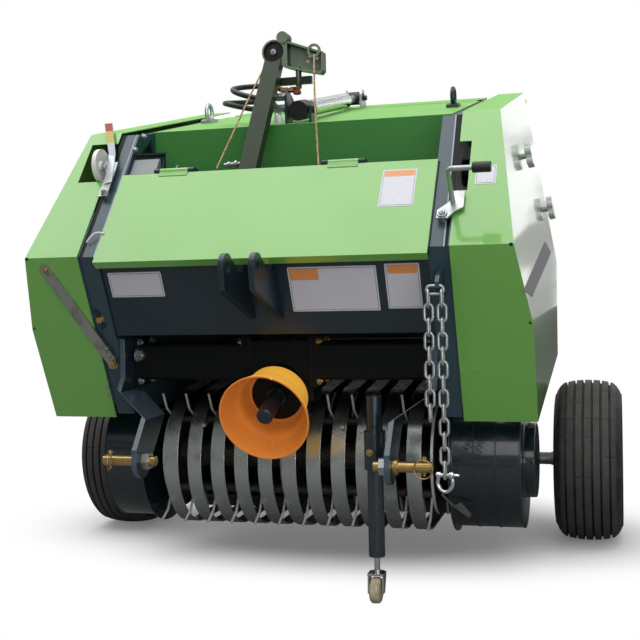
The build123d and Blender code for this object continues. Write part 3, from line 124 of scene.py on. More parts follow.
def noise(tree, scale, detail, stretch=None, kind="Object"):
    place = placeOf(tree, kind)
    if stretch:
        place = addNode(tree, "ShaderNodeMapping", {"Vector": place, "Scale": stretch}).outputs[0]
    return addNode(tree, "ShaderNodeTexNoise", {
        "Vector": place, "Scale": scale, "Detail": detail}).outputs["Fac"]


def ranged(tree, value, low, high, newLow, newHigh, way="LINEAR"):
    return addNode(tree, "ShaderNodeMapRange", {
        "Value": value, "From Min": low, "From Max": high, "To Min": newLow, "To Max": newHigh},
        interpolation_type=way).outputs[0]


def mixColour(tree, share, first, second):
    made = addNode(tree, "ShaderNodeMix", data_type="RGBA", clamp_factor=True)
    for index, value in ((0, share), (6, first), (7, second)):
        if isinstance(value, bpy.types.NodeSocket):
            tree.links.new(value, made.inputs[index])
        else:
            made.inputs[index].default_value = value
    return made.outputs[2]


def maths(tree, operation, *values):
    return addNode(tree, "ShaderNodeMath", dict(enumerate(values)), operation=operation).outputs[0]


def times(tree, first, *others):
    for other in others:
        first = maths(tree, "MULTIPLY", first, other)
    return first


def distance(tree, first, second):
    return maths(tree, "SQRT", maths(tree, "ADD", times(tree, first, first), times(tree, second, second)))


def addBump(tree, shader, height, strength, depth):
    bump = addNode(tree, "ShaderNodeBump", {"Height": height, "Strength": strength, "Distance": depth})
    tree.links.new(bump.outputs[0], shader.inputs["Normal"])


def newSkin(name, inputs):
    # a group that puts out a colour, a roughness and a height
    tree = bpy.data.node_groups.new(name, "ShaderNodeTree")
    kinds = {True: "NodeSocketColor", False: "NodeSocketFloat"}
    for label, value in inputs.items():
        kind = kinds[isinstance(value, tuple)]
        tree.interface.new_socket(name=label, in_out="INPUT", socket_type=kind).default_value = value
    for label in ("Colour", "Roughness", "Height"):
        tree.interface.new_socket(name=label, in_out="OUTPUT", socket_type=kinds[label == "Colour"])
    return tree, tree.nodes.new("NodeGroupInput").outputs, tree.nodes.new("NodeGroupOutput").inputs


# paint: soft clouds of tone, orange peel, and dust that gathers low down
paintWear = {"clouds": 3.5, "specks": 90, "dust": (0.30, 0.26, 0.20, 1), "dustTop": 0.55, "dustFoot": 0.02}
paintSkin, given, made = newSkin("paintSkin", {
    "Colour": (0.5, 0.5, 0.5, 1), "Variation": 0.1, "Rough": 0.3, "Peel Scale": 600.0, "Dust": 0.1})
tree = paintSkin
cloud = ranged(tree, noise(tree, paintWear["clouds"], 5), 0.35, 0.65, 0.0, 1.0)
fine = noise(tree, paintWear["specks"], 6)
darker = mixColour(tree, times(tree, cloud, given["Variation"]), given["Colour"], (0.0, 0.0, 0.0, 1))
low = ranged(tree, axesOf(tree)[2], paintWear["dustTop"], paintWear["dustFoot"], 0.0, 1.0)
dusty = times(tree, low, ranged(tree, fine, 0.42, 0.7, 0.2, 1.0), given["Dust"])
tree.links.new(mixColour(tree, dusty, darker, paintWear["dust"]), made["Colour"])
rougher = maths(tree, "MULTIPLY_ADD", fine, 0.12, given["Rough"])
tree.links.new(maths(tree, "MULTIPLY_ADD", dusty, 0.5, rougher), made["Roughness"])
tree.links.new(noise(tree, given["Peel Scale"], 2.0), made["Height"])

# bare metal: drawn streaks along one axis, stains and small scratches
metalWear = {"streaks": 14, "stretch": (40.0, 2.0, 2.0), "stains": 28, "grain": 420,
             "soot": (0.02, 0.02, 0.02, 1)}
metalSkin, given, made = newSkin("metalSkin", {
    "Colour": (0.6, 0.6, 0.6, 1), "Stain": (0.3, 0.27, 0.22, 1), "Stains": 0.3, "Rough": 0.3, "Streaks": 0.5})
tree = metalSkin
streak = noise(tree, metalWear["streaks"], 6, metalWear["stretch"])
blotch = ranged(tree, noise(tree, metalWear["stains"], 8), 0.48, 0.72, 0.0, 1.0)
grain = noise(tree, metalWear["grain"], 3)
stained = mixColour(tree, times(tree, blotch, given["Stains"]), given["Colour"], given["Stain"])
shade = times(tree, ranged(tree, streak, 0.3, 0.7, 0.0, 0.55), given["Streaks"])
tree.links.new(mixColour(tree, shade, stained, metalWear["soot"]), made["Colour"])
rougher = maths(tree, "MULTIPLY_ADD", blotch, 0.22, given["Rough"])
tree.links.new(maths(tree, "MULTIPLY_ADD", grain, 0.1, rougher), made["Roughness"])
tree.links.new(maths(tree, "MULTIPLY_ADD", streak, 0.6, grain), made["Height"])
print("shader groups built")

# finishes, as screen colours; a paint takes what it doesn't name from plainPaint
plainPaint = {"variation": 0.1, "rough": 0.3, "coat": 0.0, "peel": 200, "dust": 0.1, "shine": 0.5}
paints = {
    "greenPaint": {"colour": "6cab48", "variation": 0.05, "rough": 0.24, "coat": 0.9, "peel": 520,
                   "dust": 0.04},
    # greenTop: a lighter, matt copy of the green for top faces, as painted light
    "greenTop": {"colour": "7fc25c", "variation": 0.06, "rough": 0.4, "peel": 520, "dust": 0.04,
                 "shine": 0.12},
    # greenShade: a darker copy of the green for walls that face forward, as painted shade
    "greenShade": {"colour": "3f7d3c", "variation": 0.08, "rough": 0.4, "peel": 520, "dust": 0.04,
                   "shine": 0.15},
    "darkPaint": {"colour": "1b2b34", "variation": 0.2, "peel": 420, "dust": 0.06},
    # beamPaint: the dark paint made near black for parts under the twine box, as painted shade
    "beamPaint": {"colour": "0b1012", "variation": 0.2, "rough": 0.36, "peel": 420, "dust": 0.06,
                  "shine": 0.12},
    "housingPaint": {"colour": "12222a", "variation": 0.15, "rough": 0.24, "coat": 0.6, "peel": 420,
                     "dust": 0.05, "shine": 0.4},
    "tubePaint": {"colour": "16262e", "variation": 0.15, "rough": 0.24, "coat": 0.6, "peel": 420,
                  "dust": 0.05},
    # edgePaint: a lighter copy of the dark paint for the hitch plates' front and upper faces, as painted
    # light
    "edgePaint": {"colour": "405260", "variation": 0.12, "rough": 0.28, "coat": 0.4, "peel": 420,
                  "dust": 0.05},
    "postPaint": {"colour": "2a444e", "variation": 0.2, "rough": 0.36, "coat": 0.12, "peel": 420,
                  "dust": 0.04},
    # ridgePaint: a pale blue-grey for strips along the posts' folds, as painted highlight
    "ridgePaint": {"colour": "8b97a6", "rough": 0.26, "coat": 0.4, "peel": 420, "dust": 0.06},
    # innerPaint: a near-black paint, with dust, for parts deep inside and under the machine, as painted shade
    "innerPaint": {"colour": "11171a", "variation": 0.3, "rough": 0.5, "peel": 300, "dust": 0.3},
    "olivePaint": {"colour": "2f3d29", "variation": 0.45, "rough": 0.34, "peel": 260, "shine": 0.16},
    # oliveLight: a lighter, glossier copy of the olive for the mast head's top and front faces, as painted
    # light
    "oliveLight": {"colour": "788970", "variation": 0.3, "rough": 0.24, "coat": 0.5, "peel": 260},
    "greyPaint": {"colour": "82878a", "variation": 0.3, "rough": 0.38, "peel": 380, "dust": 0.2},
    # the guard's orange carries painted light: an emission in its own colour, so it glows with no lamp
    "guardOrange": {"colour": "ffbb48", "variation": 0.06, "rough": 0.32, "peel": 240, "dust": 0.02,
                    "scatter": 0.6, "paintedLight": 0.42},
    # guardInside: a darker, redder copy of the guard's orange as painted shade, with a faint painted glow
    "guardInside": {"colour": "ee8f3a", "variation": 0.14, "rough": 0.4, "peel": 240, "dust": 0.02,
                    "scatter": 0.3, "paintedLight": 0.1},
    # blackPlastic: black plastic, and also the black fill in holes and bores as painted shade
    "blackPlastic": {"colour": "17181a", "variation": 0.2, "rough": 0.38, "peel": 300},
    "whitePlastic": {"colour": "e4e4e0", "variation": 0.08, "rough": 0.34, "peel": 300, "dust": 0.2,
                     "scatter": 0.1},
    "nylon": {"colour": "cfc6a4", "variation": 0.45, "rough": 0.42, "dust": 0.9, "scatter": 0.15},
    "knobClear": {"colour": "b4bcb6", "variation": 0.05, "rough": 0.12, "coat": 1.0},
    "hoseRubber": {"colour": "1b1d1f", "variation": 0.3, "rough": 0.42, "peel": 900, "dust": 0.2},
    "labelWhite": {"colour": "c6c7cf", "variation": 0.06, "rough": 0.28, "coat": 0.3, "peel": 120},
    "labelSilver": {"colour": "c6c6ce", "variation": 0.12, "coat": 0.3, "peel": 120},
    "labelOrange": {"colour": "d98a4a", "coat": 0.3, "peel": 120},
    "labelInk": {"colour": "33343c", "coat": 0.3, "peel": 120},
    "decalGrey": {"colour": "86838c", "rough": 0.5, "shine": 0.1},
    "stripeRed": {"colour": "a3141f", "rough": 0.45},
    "stripeYellow": {"colour": "b7a83e", "rough": 0.45},
    "stripeWhite": {"colour": "b3b6c0", "rough": 0.45},
    "rustBrown": {"colour": "8a4f26", "variation": 0.5, "rough": 0.6, "dust": 0.3},
}
metals = {
    # bandSteel's fade: the two heights between which its painted shade and soot give way to the steel's own
    # colour
    "bandSteel": {"colour": "b3bbb8", "stain": "7b7673", "stains": 0.14, "rough": 0.3, "streaks": 0.08,
                  "metal": 0.85, "fade": (0.395, 0.305), "bump": 0.025},
    "reelSteel": {"colour": "d2d5d5", "stain": "7a746c", "stains": 0.3, "rough": 0.34, "streaks": 0.1,
                  "metal": 0.4},
    "zinc": {"colour": "b4b8ba", "stain": "77756f", "stains": 0.4, "rough": 0.36, "streaks": 0.12,
             "metal": 0.85},
    "brassZinc": {"colour": "bfa067", "stain": "7f7450", "stains": 0.5, "rough": 0.3, "streaks": 0.1,
                  "metal": 0.9},
    "chrome": {"colour": "e2e3e6", "stain": "9a9aa0", "stains": 0.2, "rough": 0.1, "streaks": 0.05,
               "metal": 1.0},
    "stripSteel": {"colour": "5d615f", "stain": "3a3733", "stains": 0.4, "rough": 0.42, "streaks": 0.2,
                   "metal": 0.6},
    "leverSteel": {"colour": "a9aaa4", "stain": "6a6458", "stains": 0.6, "rough": 0.36, "streaks": 0.3,
                   "metal": 0.85},
}
finishes = {}


def rgb(text):
    # a screen colour as a linear one
    values = [int(text[i:i + 2], 16) / 255 for i in (0, 2, 4)]
    return tuple(v / 12.92 if v <= 0.04045 else ((v + 0.055) / 1.055) ** 2.4 for v in values) + (1,)


def newMaterial(name):
    finishes[name] = bpy.data.materials.new(name)
    finishes[name].use_nodes = True
    tree = finishes[name].node_tree
    return tree, tree.nodes["Principled BSDF"]


def useSkin(tree, shader, group, values, bumpStrength, bumpDepth):
    skin = addNode(tree, "ShaderNodeGroup", values, node_tree=group)
    tree.links.new(skin.outputs["Colour"], shader.inputs["Base Color"])
    tree.links.new(skin.outputs["Roughness"], shader.inputs["Roughness"])
    addBump(tree, shader, skin.outputs["Height"], bumpStrength, bumpDepth)
    return skin


for name, own in paints.items():
    look = {**plainPaint, **own}
    tree, shader = newMaterial(name)
    useSkin(tree, shader, paintSkin, {
        "Colour": rgb(look["colour"]), "Variation": look["variation"], "Rough": look["rough"] - 0.06,
        "Peel Scale": look["peel"], "Dust": look["dust"]}, 0.06, 0.002)
    shader.inputs["Coat Weight"].default_value = look["coat"]
    shader.inputs["Coat Roughness"].default_value = 0.06
    shader.inputs["Specular IOR Level"].default_value = look["shine"]
    # painted light: an emission in the paint's own colour, so the part glows with no lamp
    if "paintedLight" in look:
        shader.inputs["Emission Color"].default_value = rgb(look["colour"])
        shader.inputs["Emission Strength"].default_value = look["paintedLight"]
    if "scatter" in look:
        shader.inputs["Subsurface Weight"].default_value = look["scatter"]
        shader.inputs["Subsurface Radius"].default_value = (0.012, 0.006, 0.003)
for name, look in metals.items():
    tree, shader = newMaterial(name)
    skin = useSkin(tree, shader, metalSkin, {
        "Colour": rgb(look["colour"]), "Stain": rgb(look["stain"]), "Stains": look["stains"],
        "Rough": look["rough"] - 0.08, "Streaks": look["streaks"]}, look.get("bump", 0.08), 0.001)
    shader.inputs["Metallic"].default_value = look["metal"]
    if "fade" in look:
        # painted shade with some soot: near-black above, the steel's own colour below, blended between two
        # heights
        clearOfShade = ranged(tree, axesOf(tree)[2], *look["fade"], 0.12, 1.0)
        tree.links.new(mixColour(tree, clearOfShade, (0.012, 0.012, 0.012, 1), skin.outputs["Colour"]),
                       shader.inputs["Base Color"])

# tyre rubber: dull tread, dark grooves, dust, and small cuts across the ribs
rubber = {"tread": "3b3a39", "groove": "0b0b0c", "dust": "5d564b", "cuts": 26.0,
          "treadFrom": (0.1965, 0.1995), "crownFall": 1.9}
tree, shader = newMaterial("tyreRubber")
parts = axesOf(tree)
backOf = maths(tree, "SUBTRACT", parts[1], axleY / 1000)
above = maths(tree, "SUBTRACT", parts[2], wheel["z"] / 1000)
wave = maths(tree, "SINE", times(tree, maths(tree, "ARCTAN2", above, backOf), rubber["cuts"]))
cutLine = ranged(tree, wave, 0.985, 1.0, 0.0, 1.0)
# the tread's crown falls off toward its shoulders
aside = maths(tree, "SUBTRACT", maths(tree, "ABSOLUTE", parts[0]), wheel["x"] / 1000)
reach = maths(tree, "ADD", distance(tree, above, backOf), times(tree, aside, aside, rubber["crownFall"]))
onTread = ranged(tree, reach, *rubber["treadFrom"], 0.0, 1.0)
cut = times(tree, cutLine, onTread, ranged(tree, noise(tree, 24, 3), 0.5, 0.56, 0.0, 1.0))
base = mixColour(tree, onTread, rgb(rubber["groove"]), rgb(rubber["tread"]))
base = mixColour(tree, ranged(tree, noise(tree, 34, 7), 0.4, 0.75, 0.0, 0.32), base, rgb(rubber["dust"]))
tree.links.new(mixColour(tree, cut, base, rgb(rubber["groove"])), shader.inputs["Base Color"])
tree.links.new(ranged(tree, noise(tree, 160, 4), 0.3, 0.7, 0.5, 0.72), shader.inputs["Roughness"])
addBump(tree, shader, maths(tree, "SUBTRACT", times(tree, noise(tree, 500, 3), 0.12), cut), 0.5, 0.002)

# twine: sisal strands laid in a twist
sisal = {"dark": "6d5638", "light": "c9ae84", "strands": 60, "stretch": (6.0, 6.0, 1.5)}
tree, shader = newMaterial("sisal")
twist = noise(tree, sisal["strands"], 5, sisal["stretch"])
strand = mixColour(tree, ranged(tree, twist, 0.35, 0.65, 0, 1), rgb(sisal["dark"]), rgb(sisal["light"]))
tree.links.new(strand, shader.inputs["Base Color"])
tree.links.new(ranged(tree, twist, 0.3, 0.7, 0.75, 0.9), shader.inputs["Roughness"])
addBump(tree, shader, twist, 0.8, 0.001)
print("finishes:", len(finishes))


# making pieces
def newPiece(name, bm, finish, body="frame", sharp=32, bevel=None):
    for face in bm.faces:
        face.smooth = True
    for edge in bm.edges:
        edge.smooth = len(edge.link_faces) == 2 and edge.calc_face_angle(3.2) < math.radians(sharp)
    mesh = bpy.data.meshes.new(name)
    bm.to_mesh(mesh)
    bm.free()
    obj = bpy.data.objects.new(name, mesh)
    bpy.context.scene.collection.objects.link(obj)
    for one in [finish] if isinstance(finish, str) else finish:
        mesh.materials.append(finishes[one])
    if bevel:
        soft = obj.modifiers.new("edges", "BEVEL")
        soft.width, soft.segments, soft.limit_method = bevel, 2, "ANGLE"
        soft.angle_limit = math.radians(30)
        soft.harden_normals = True
    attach(obj, body)
    return obj


def dressNode(node, finish, bevel=0.0008, sharp=32):
    # a merged copy of the node's mesh with broken edges stands for it
    bm = bmesh.new()
    bm.from_mesh(frame["nodes"][node].data)
    bmesh.ops.remove_doubles(bm, verts=bm.verts, dist=1e-5)
    bmesh.ops.dissolve_limit(bm, angle_limit=math.radians(0.5), verts=bm.verts, edges=bm.edges)
    obj = newPiece(node + "Skin", bm, finish, nodeBody[node], sharp=sharp, bevel=bevel)
    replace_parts(obj, node)
    return obj


def paintNode(node, finish):
    obj = frame["nodes"][node]
    obj.data.materials.clear()
    obj.data.materials.append(finishes[finish])
    for polygon in obj.data.polygons:
        polygon.material_index = 0


def paintRegion(obj, finish, test):
    # test takes a face's centre, in millimetres from the axle's foot, and its normal
    obj.data.materials.append(finishes[finish])
    slot = len(obj.data.materials) - 1
    for polygon in obj.data.polygons:
        x, y, z = polygon.center * 1000
        if test(x, y - axleY, z, polygon.normal):
            polygon.material_index = slot


def addCylinder(bm, place, radius, depth, segments=24, radiusTop=None):
    # from the plane's origin out along its third axis, in the plane's millimetres
    top = radius if radiusTop is None else radiusTop
    middle = place @ Matrix.Translation((0, 0, depth / 2))
    return bmesh.ops.create_cone(bm, cap_ends=True, segments=segments, radius1=radius, radius2=top,
                                 depth=depth, matrix=middle)["verts"]


def addLathe(bm, place, outline, steps=32):
    # outline: radius and height pairs, turned about the plane's third axis
    verts = [bm.verts.new(place @ Vector((radius, 0, height))) for radius, height in outline]
    edges = [bm.edges.new(pair) for pair in zip(verts, verts[1:])]
    centre, axis = place @ Vector((0, 0, 0)), (place.to_3x3() @ Vector((0, 0, 1))).normalized()
    bmesh.ops.spin(bm, geom=verts + edges, cent=centre, axis=axis, angle=math.tau, steps=steps,
                   use_merge=True)
    bmesh.ops.remove_doubles(bm, verts=bm.verts, dist=1e-6)
    bmesh.ops.recalc_face_normals(bm, faces=bm.faces)


def addOutline(bm, plane, points, thick):
    # a flat outline on the plane, given a thickness out of it
    face = bm.faces.new([bm.verts.new(plane @ Vector((x, y, 0))) for x, y in points])
    made = bmesh.ops.extrude_face_region(bm, geom=[face])["geom"]
    offset = plane.to_3x3() @ Vector((0, 0, thick))
    bmesh.ops.translate(bm, verts=[one for one in made if isinstance(one, bmesh.types.BMVert)], vec=offset)
    bmesh.ops.recalc_face_normals(bm, faces=bm.faces)


def addPlate(bm, place, width, height, thick=0.5, radius=3.0, material=0):
    # a thin plate with rounded corners, its back on the plane
    made = bmesh.ops.create_cube(bm, size=1, matrix=place @ Matrix.Diagonal((width, height, thick, 1))
                                 @ Matrix.Translation((0, 0, 0.5)))["verts"]
    corners = [e for e in {e for v in made for e in v.link_edges}
               if abs((e.verts[0].co - e.verts[1].co).length - thick / 1000) < 1e-6]
    for face in {f for v in made for f in v.link_faces}:
        face.material_index = material
    if radius:
        bmesh.ops.bevel(bm, geom=corners, offset=radius / 1000, segments=4, profile=0.5, affect="EDGES",
                        material=-1)


def turnedPiece(name, plane, outline, steps, finish, body="frame"):
    bm = bmesh.new()
    addLathe(bm, plane, outline, steps)
    return newPiece(name, bm, finish, body)


def newCurve(name, diameter, rounds, finish):
    data = bpy.data.curves.new(name, "CURVE")
    data.dimensions = "3D"
    data.bevel_depth, data.bevel_resolution, data.use_fill_caps = diameter / 2000, rounds, True
    data.materials.append(finishes[finish])
    obj = bpy.data.objects.new(name, data)
    bpy.context.scene.collection.objects.link(obj)
    return obj


def addLine(obj, kind, points):
    line = obj.data.splines.new(kind)
    line.points.add(len(points) - 1)
    for point, place in zip(line.points, points):
        point.co = (*place, 1)
    return line


def addRod(name, points, diameter, finish):
    # a bent wire or hose: a smooth spline with these points as its control points
    obj = newCurve(name, diameter, 6, finish)
    line = addLine(obj, "NURBS", points)
    line.order_u, line.use_endpoint_u, line.resolution_u = 3, True, 12
    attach(obj, "frame")
    return obj


def addLoops(name, loops, diameter, finish):
    # closed rings and links
    obj = newCurve(name, diameter, 3, finish)
    for points in loops:
        addLine(obj, "POLY", points).use_cyclic_u = True
    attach(obj, "frame")
    return obj


# one hex head on its washer, with a chamfered top and the bolt's end, about the size of an M8
boltShape = {"washer": 9.0, "washerThick": 1.6, "head": 7.2, "headHigh": 5.6, "chamfer": 0.9, "crown": 0.7,
             "end": (3.6, 3.0), "endFrom": 7, "endLong": 3.2}


def boltMesh(shape):
    bm = bmesh.new()
    addCylinder(bm, Matrix.Identity(4), shape["washer"], shape["washerThick"], 20)
    head = addCylinder(bm, Matrix.Translation((0, 0, shape["washerThick"])), shape["head"],
                       shape["headHigh"], 6)
    top = [f for f in bm.faces if all(v in head for v in f.verts) and f.normal.z > 0.9]
    bmesh.ops.inset_region(bm, faces=top, thickness=shape["chamfer"])
    bmesh.ops.translate(bm, verts=top[0].verts, vec=(0, 0, shape["crown"]))
    wide, narrow = shape["end"]
    addCylinder(bm, Matrix.Translation((0, 0, shape["endFrom"])), wide, shape["endLong"], 12, narrow)
    mesh = bpy.data.meshes.new("boltMaster")
    bm.to_mesh(mesh)
    bm.free()
    return mesh


bolt = boltMesh(boltShape)


def addBolts(name, places, finish, body="frame"):
    # places: plane, x, y, out and size, where 1 is the size of the bolt above
    bm = bmesh.new()
    for plane, x, y, out, size in places:
        one = bolt.copy()
        one.transform(offsetPlane(plane, x, y, out, (x * 7 + y * 3) % 60) @ Matrix.Scale(size, 4))
        bm.from_mesh(one)
        bpy.data.meshes.remove(one)
    return newPiece(name, bm, finish, body)


# hoses of the ram, with a ferrule at each end
hoseSize = {"diameter": 13.0, "ferrule": 8.4, "ferruleLong": 24.0}
hoses = {
    "hoseUpper": {"node": "hose_upper", "length": 0.3766, "points": [
        (-66, -402, 1106), (-102, -402, 1106), (-144, -396, 1118), (-178, -372, 1134), (-187, -332, 1147),
        (-160, -294, 1156), (-116, -276, 1158), (-74, -282, 1144), (-50, -298, 1114), (-44, -303, 1078)]},
    "hoseLower": {"node": "hose_lower", "length": 0.3842, "points": [
        (-66, -398, 1080), (-106, -398, 1080), (-152, -394, 1091), (-193, -374, 1104), (-213, -332, 1113),
        (-196, -292, 1119), (-154, -275, 1121), (-112, -287, 1117), (-84, -314, 1102), (-76, -332, 1070)]},
}
for name, one in hoses.items():
    places = [at(*point) for point in one["points"]]
    hose = addRod(name, places, hoseSize["diameter"], "hoseRubber")
    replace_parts(hose, one["node"])
    r, long = hoseSize["ferrule"], hoseSize["ferruleLong"]
    outline = [(0.1, -0.5), (r, -0.5), (r, 3), (r - 1, 4), (r - 1, 7), (r, 8), (r, long - 7),
               (r - 1.2, long - 5), (r - 0.4, long - 3), (r - 1.4, long), (6.2, long)]
    bm = bmesh.new()
    for start, after in ((places[0], places[1]), (places[-1], places[-2])):
        addLathe(bm, planeAt(start, (0, 0.3, 1), after - start), outline, 24)
    ferrules = newPiece(name + "Ferrules", bm, "zinc")

# two lines of twine, taut from the mast's head to the twine box
twine = {
    "diameter": 4.2,
    "twineLeft": [(-86, -384, 1190), (-108, -440, 1112), (-129, -502, 1020), (-150, -566, 928)],
    "twineRight": [(32, -388, 1202), (46, -444, 1112), (66, -506, 1018), (86, -568, 922)],
}
for name in ("twineLeft", "twineRight"):
    places = [at(*point) for point in twine[name]]
    line = addRod(name, places, twine["diameter"], "sisal")
print("hoses and twine laid")

# CAD nodes with broken edges and their finishes, some of them lighter or darker copies of a paint as painted
# light and shade
dressed = {
    "greenPaint": ["lid", "side_cover_right", "side_cover_left", "gate_covers"],
    # the top cover and the gate's hood in the lighter green: painted light
    "greenTop": ["top_cover", "gate_hood"],
    "postPaint": ["side_frame_right", "side_frame_left"],
    "darkPaint": ["twine_box", "hinge_rail", "top_link_ears", "hitch_plates", "wheel_brackets", "gate_frame"],
    # the beam, the gearbox and the feed floor in near black: painted shade
    "beamPaint": ["cross_beam", "gearbox", "feed_floor"],
    "housingPaint": ["pickup_housing_right", "pickup_housing_left"],
    "tubePaint": ["stand_sleeve", "stand_leg"],
    "olivePaint": ["mast"],
    "greyPaint": ["knife_box"],
    "brassZinc": ["hitch_pins"],
    "zinc": ["crank", "ram_bracket", "ram_foot", "ram_rod", "indicator", "lifting_eyes"],
    "chrome": ["caster_fork", "ram_barrel"],
    "leverSteel": ["side_lever"],
    "nylon": ["caster_wheel"],
    "whitePlastic": ["indicator_wheel"],
    "blackPlastic": ["crank_grip", "mast_pulley"],
    "knobClear": ["cover_knobs"],
    "guardOrange": ["pto_guard"],
    "bandSteel": ["stripper_bands"],
}
ownBevel = {"stripper_bands": 0.0012, "pto_guard": 0.0012, "indicator_wheel": 0.0006, "cover_knobs": 0.002,
            "crank_grip": 0.002, "hitch_plates": 0.0015, "top_link_ears": 0.0012, "gearbox": 0.004,
            "pickup_housing_right": 0.004, "pickup_housing_left": 0.004, "indicator": 0.0003,
            "caster_wheel": 0.0015}
for finish, names in dressed.items():
    for node in names:
        dressNode(node, finish, ownBevel.get(node, 0.0008))
for node in frame["nodes"]:
    if node.startswith(("roller_", "rim_", "pto_shaft")):
        paintNode(node, "darkPaint")
    elif node.startswith("tyre_"):
        paintNode(node, "tyreRubber")
    elif node == "chain":
        paintNode(node, "zinc")
print("nodes dressed")


# parts of a skin with another finish
def onTines(x, y, z, normal):
    return math.hypot(y - reel["y"], z - reel["z"]) > reel["tineCircle"]


# the guard's inside faces, which take its painted shade
def inGuardShade(x, y, z, normal):
    droop = math.radians(guard["droop"])
    axis = Vector((0, -math.cos(droop), -math.sin(droop)))
    away = Vector((x, y - guard["y"], z - guard["z"]))
    away -= axis * away.dot(axis)
    facing = normal.dot(axis)
    return away.length < guard["inside"] and facing > 0.9 or abs(facing) < 0.9 and away.dot(normal) < 0


def onTop(x, y, z, normal):
    return normal.z > 0.9


# the reel's drum in near black: painted shade
dressNode("pickup_reel", "innerPaint", bevel=None, sharp=62)
regions = [
    ("pickup_reel", "reelSteel", onTines),
    ("ram_barrel", "blackPlastic", lambda x, y, z, normal: y < -366),
    ("ram_rod", "blackPlastic", lambda x, y, z, normal: y > 118),
    ("hitch_pins", "zinc", lambda x, y, z, normal: 243 < abs(x) < 262.5),
    # painted light: the hitch plates' faces toward the front and upward in the lighter dark paint
    ("hitch_plates", "edgePaint", lambda x, y, z, normal: normal.y < -0.35 or normal.z > 0.35),
    ("lifting_eyes", "darkPaint", lambda x, y, z, normal: x > 0),
    ("ram_foot", "darkPaint", lambda x, y, z, normal: x > -37 and y < -340),
    # painted shade: the top cover's walls that face forward, in the darker green
    ("top_cover", "greenShade", lambda x, y, z, normal: normal.y < -0.8),
    # painted shade: the bands' lower rear part, under the machine, in near black
    ("stripper_bands", "innerPaint", lambda x, y, z, normal: y > -300 and z < 135),
    # painted light: the side covers' top faces in the lighter green
    ("side_cover_right", "greenTop", onTop),
    ("side_cover_left", "greenTop", onTop),
    # painted shade and painted light: the guard's inside in a darker, redder orange with a faint glow
    ("pto_guard", "guardInside", inGuardShade),
    # painted light: the mast head's top and front faces in the lighter olive
    ("mast", "oliveLight", lambda x, y, z, normal: z > 1150 and (normal.z > 0.88 or normal.y < -0.9)),
]
for node, finish, test in regions:
    paintRegion(bpy.data.objects[node + "Skin"], finish, test)
print("regions painted:", len(regions))

# tyres: six grooves round the tread and rings on the walls
tyre = {
    "grooves": (-52, -31, -10.5, 10.5, 31, 52), "grooveWide": 5.5, "grooveDeep": 8.0, "grooveTaper": 1.2,
    "steps": 112, "crown": ((0, 203), (20, 202.4), (42.5, 199.8), (60.5, 195), (66, 190)),
    "wall": ((103, 68.5), (112, 74), (126, 80), (142, 82.3), (156, 82.2), (158, 81), (161, 81), (163, 82),
             (166, 81.6), (168, 79.6), (176, 76.4), (183, 72), (187.5, 68.6)),
}
# wheel bolts, a hub cap and a valve on the rim's outer side
rimFittings = {
    "bolts": 5, "boltCircle": 58, "boltOut": 30, "boltSize": 1.5, "valveUp": 82,
    "cap": [(26, 41.8), (26, 50), (24, 55), (17, 58), (0.1, 59)],
    "valve": [(0.1, 29), (5.5, 29), (4.5, 38), (3.6, 40), (3.6, 50), (4.4, 51), (4.4, 58), (0.1, 59)],
}


def crownPoint(height):
    for (start, high), (end, low) in zip(tyre["crown"], tyre["crown"][1:]):
        if start <= abs(height) <= end:
            return high + (low - high) * (abs(height) - start) / (end - start), height


def treadOutline():
    half, taper = tyre["grooveWide"] / 2, tyre["grooveTaper"]
    edge, shoulder = tyre["crown"][-1][0], tyre["crown"][-2][0]
    points = [crownPoint(-edge), crownPoint(-shoulder)]
    for middle in tyre["grooves"]:
        bottom = crownPoint(middle)[0] - tyre["grooveDeep"]
        points += [crownPoint(middle - half), (bottom, middle - half + taper),
                   (bottom, middle + half - taper), crownPoint(middle + half)]
    points += [crownPoint(shoulder), crownPoint(edge)]
    wall = list(tyre["wall"])
    return [(radius, -height) for radius, height in wall] + points + wall[::-1]


for word, sign in (("left", -1), ("right", 1)):
    side, body = word.title(), "wheel_" + word
    centre = at(sign * wheel["x"], 0, wheel["z"])
    bm = bmesh.new()
    addLathe(bm, planeAt(centre, backward, rightward), treadOutline(), tyre["steps"])
    piece = newPiece("treadedTyre" + side, bm, "tyreRubber", body, sharp=38)
    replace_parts(piece, "tyre_" + word)
    hub = planeAt(centre, backward, (sign, 0, 0))
    circle, count = rimFittings["boltCircle"], rimFittings["bolts"]
    turns = [math.tau * (i + 0.5) / count for i in range(count)]
    spots = [(hub, circle * math.cos(turn), circle * math.sin(turn), rimFittings["boltOut"],
              rimFittings["boltSize"]) for turn in turns]
    addBolts("wheelBolts" + side, spots, "zinc", body)
    turnedPiece("hubCap" + side, hub, rimFittings["cap"], 40, "darkPaint", body)
    turnedPiece("valve" + side, offsetPlane(hub, 0, rimFittings["valveUp"]), rimFittings["valve"], 16,
                "blackPlastic", body)
print("tyres done")


# chain: round links, a bow shackle and its pin
def linkPoints(centre, along, across, halfLong, halfWide, steps=8):
    points = []
    for end in (1, -1):
        for i in range(steps + 1):
            turn = math.pi * i / steps
            points.append(centre + end * (along * (halfLong - halfWide + halfWide * math.sin(turn))
                                          + across * halfWide * math.cos(turn)))
    return points


def ringPoints(centre, right, up, radius, steps=28):
    return [centre + (right * math.cos(math.tau * i / steps) + up * math.sin(math.tau * i / steps)) * radius
            for i in range(steps)]


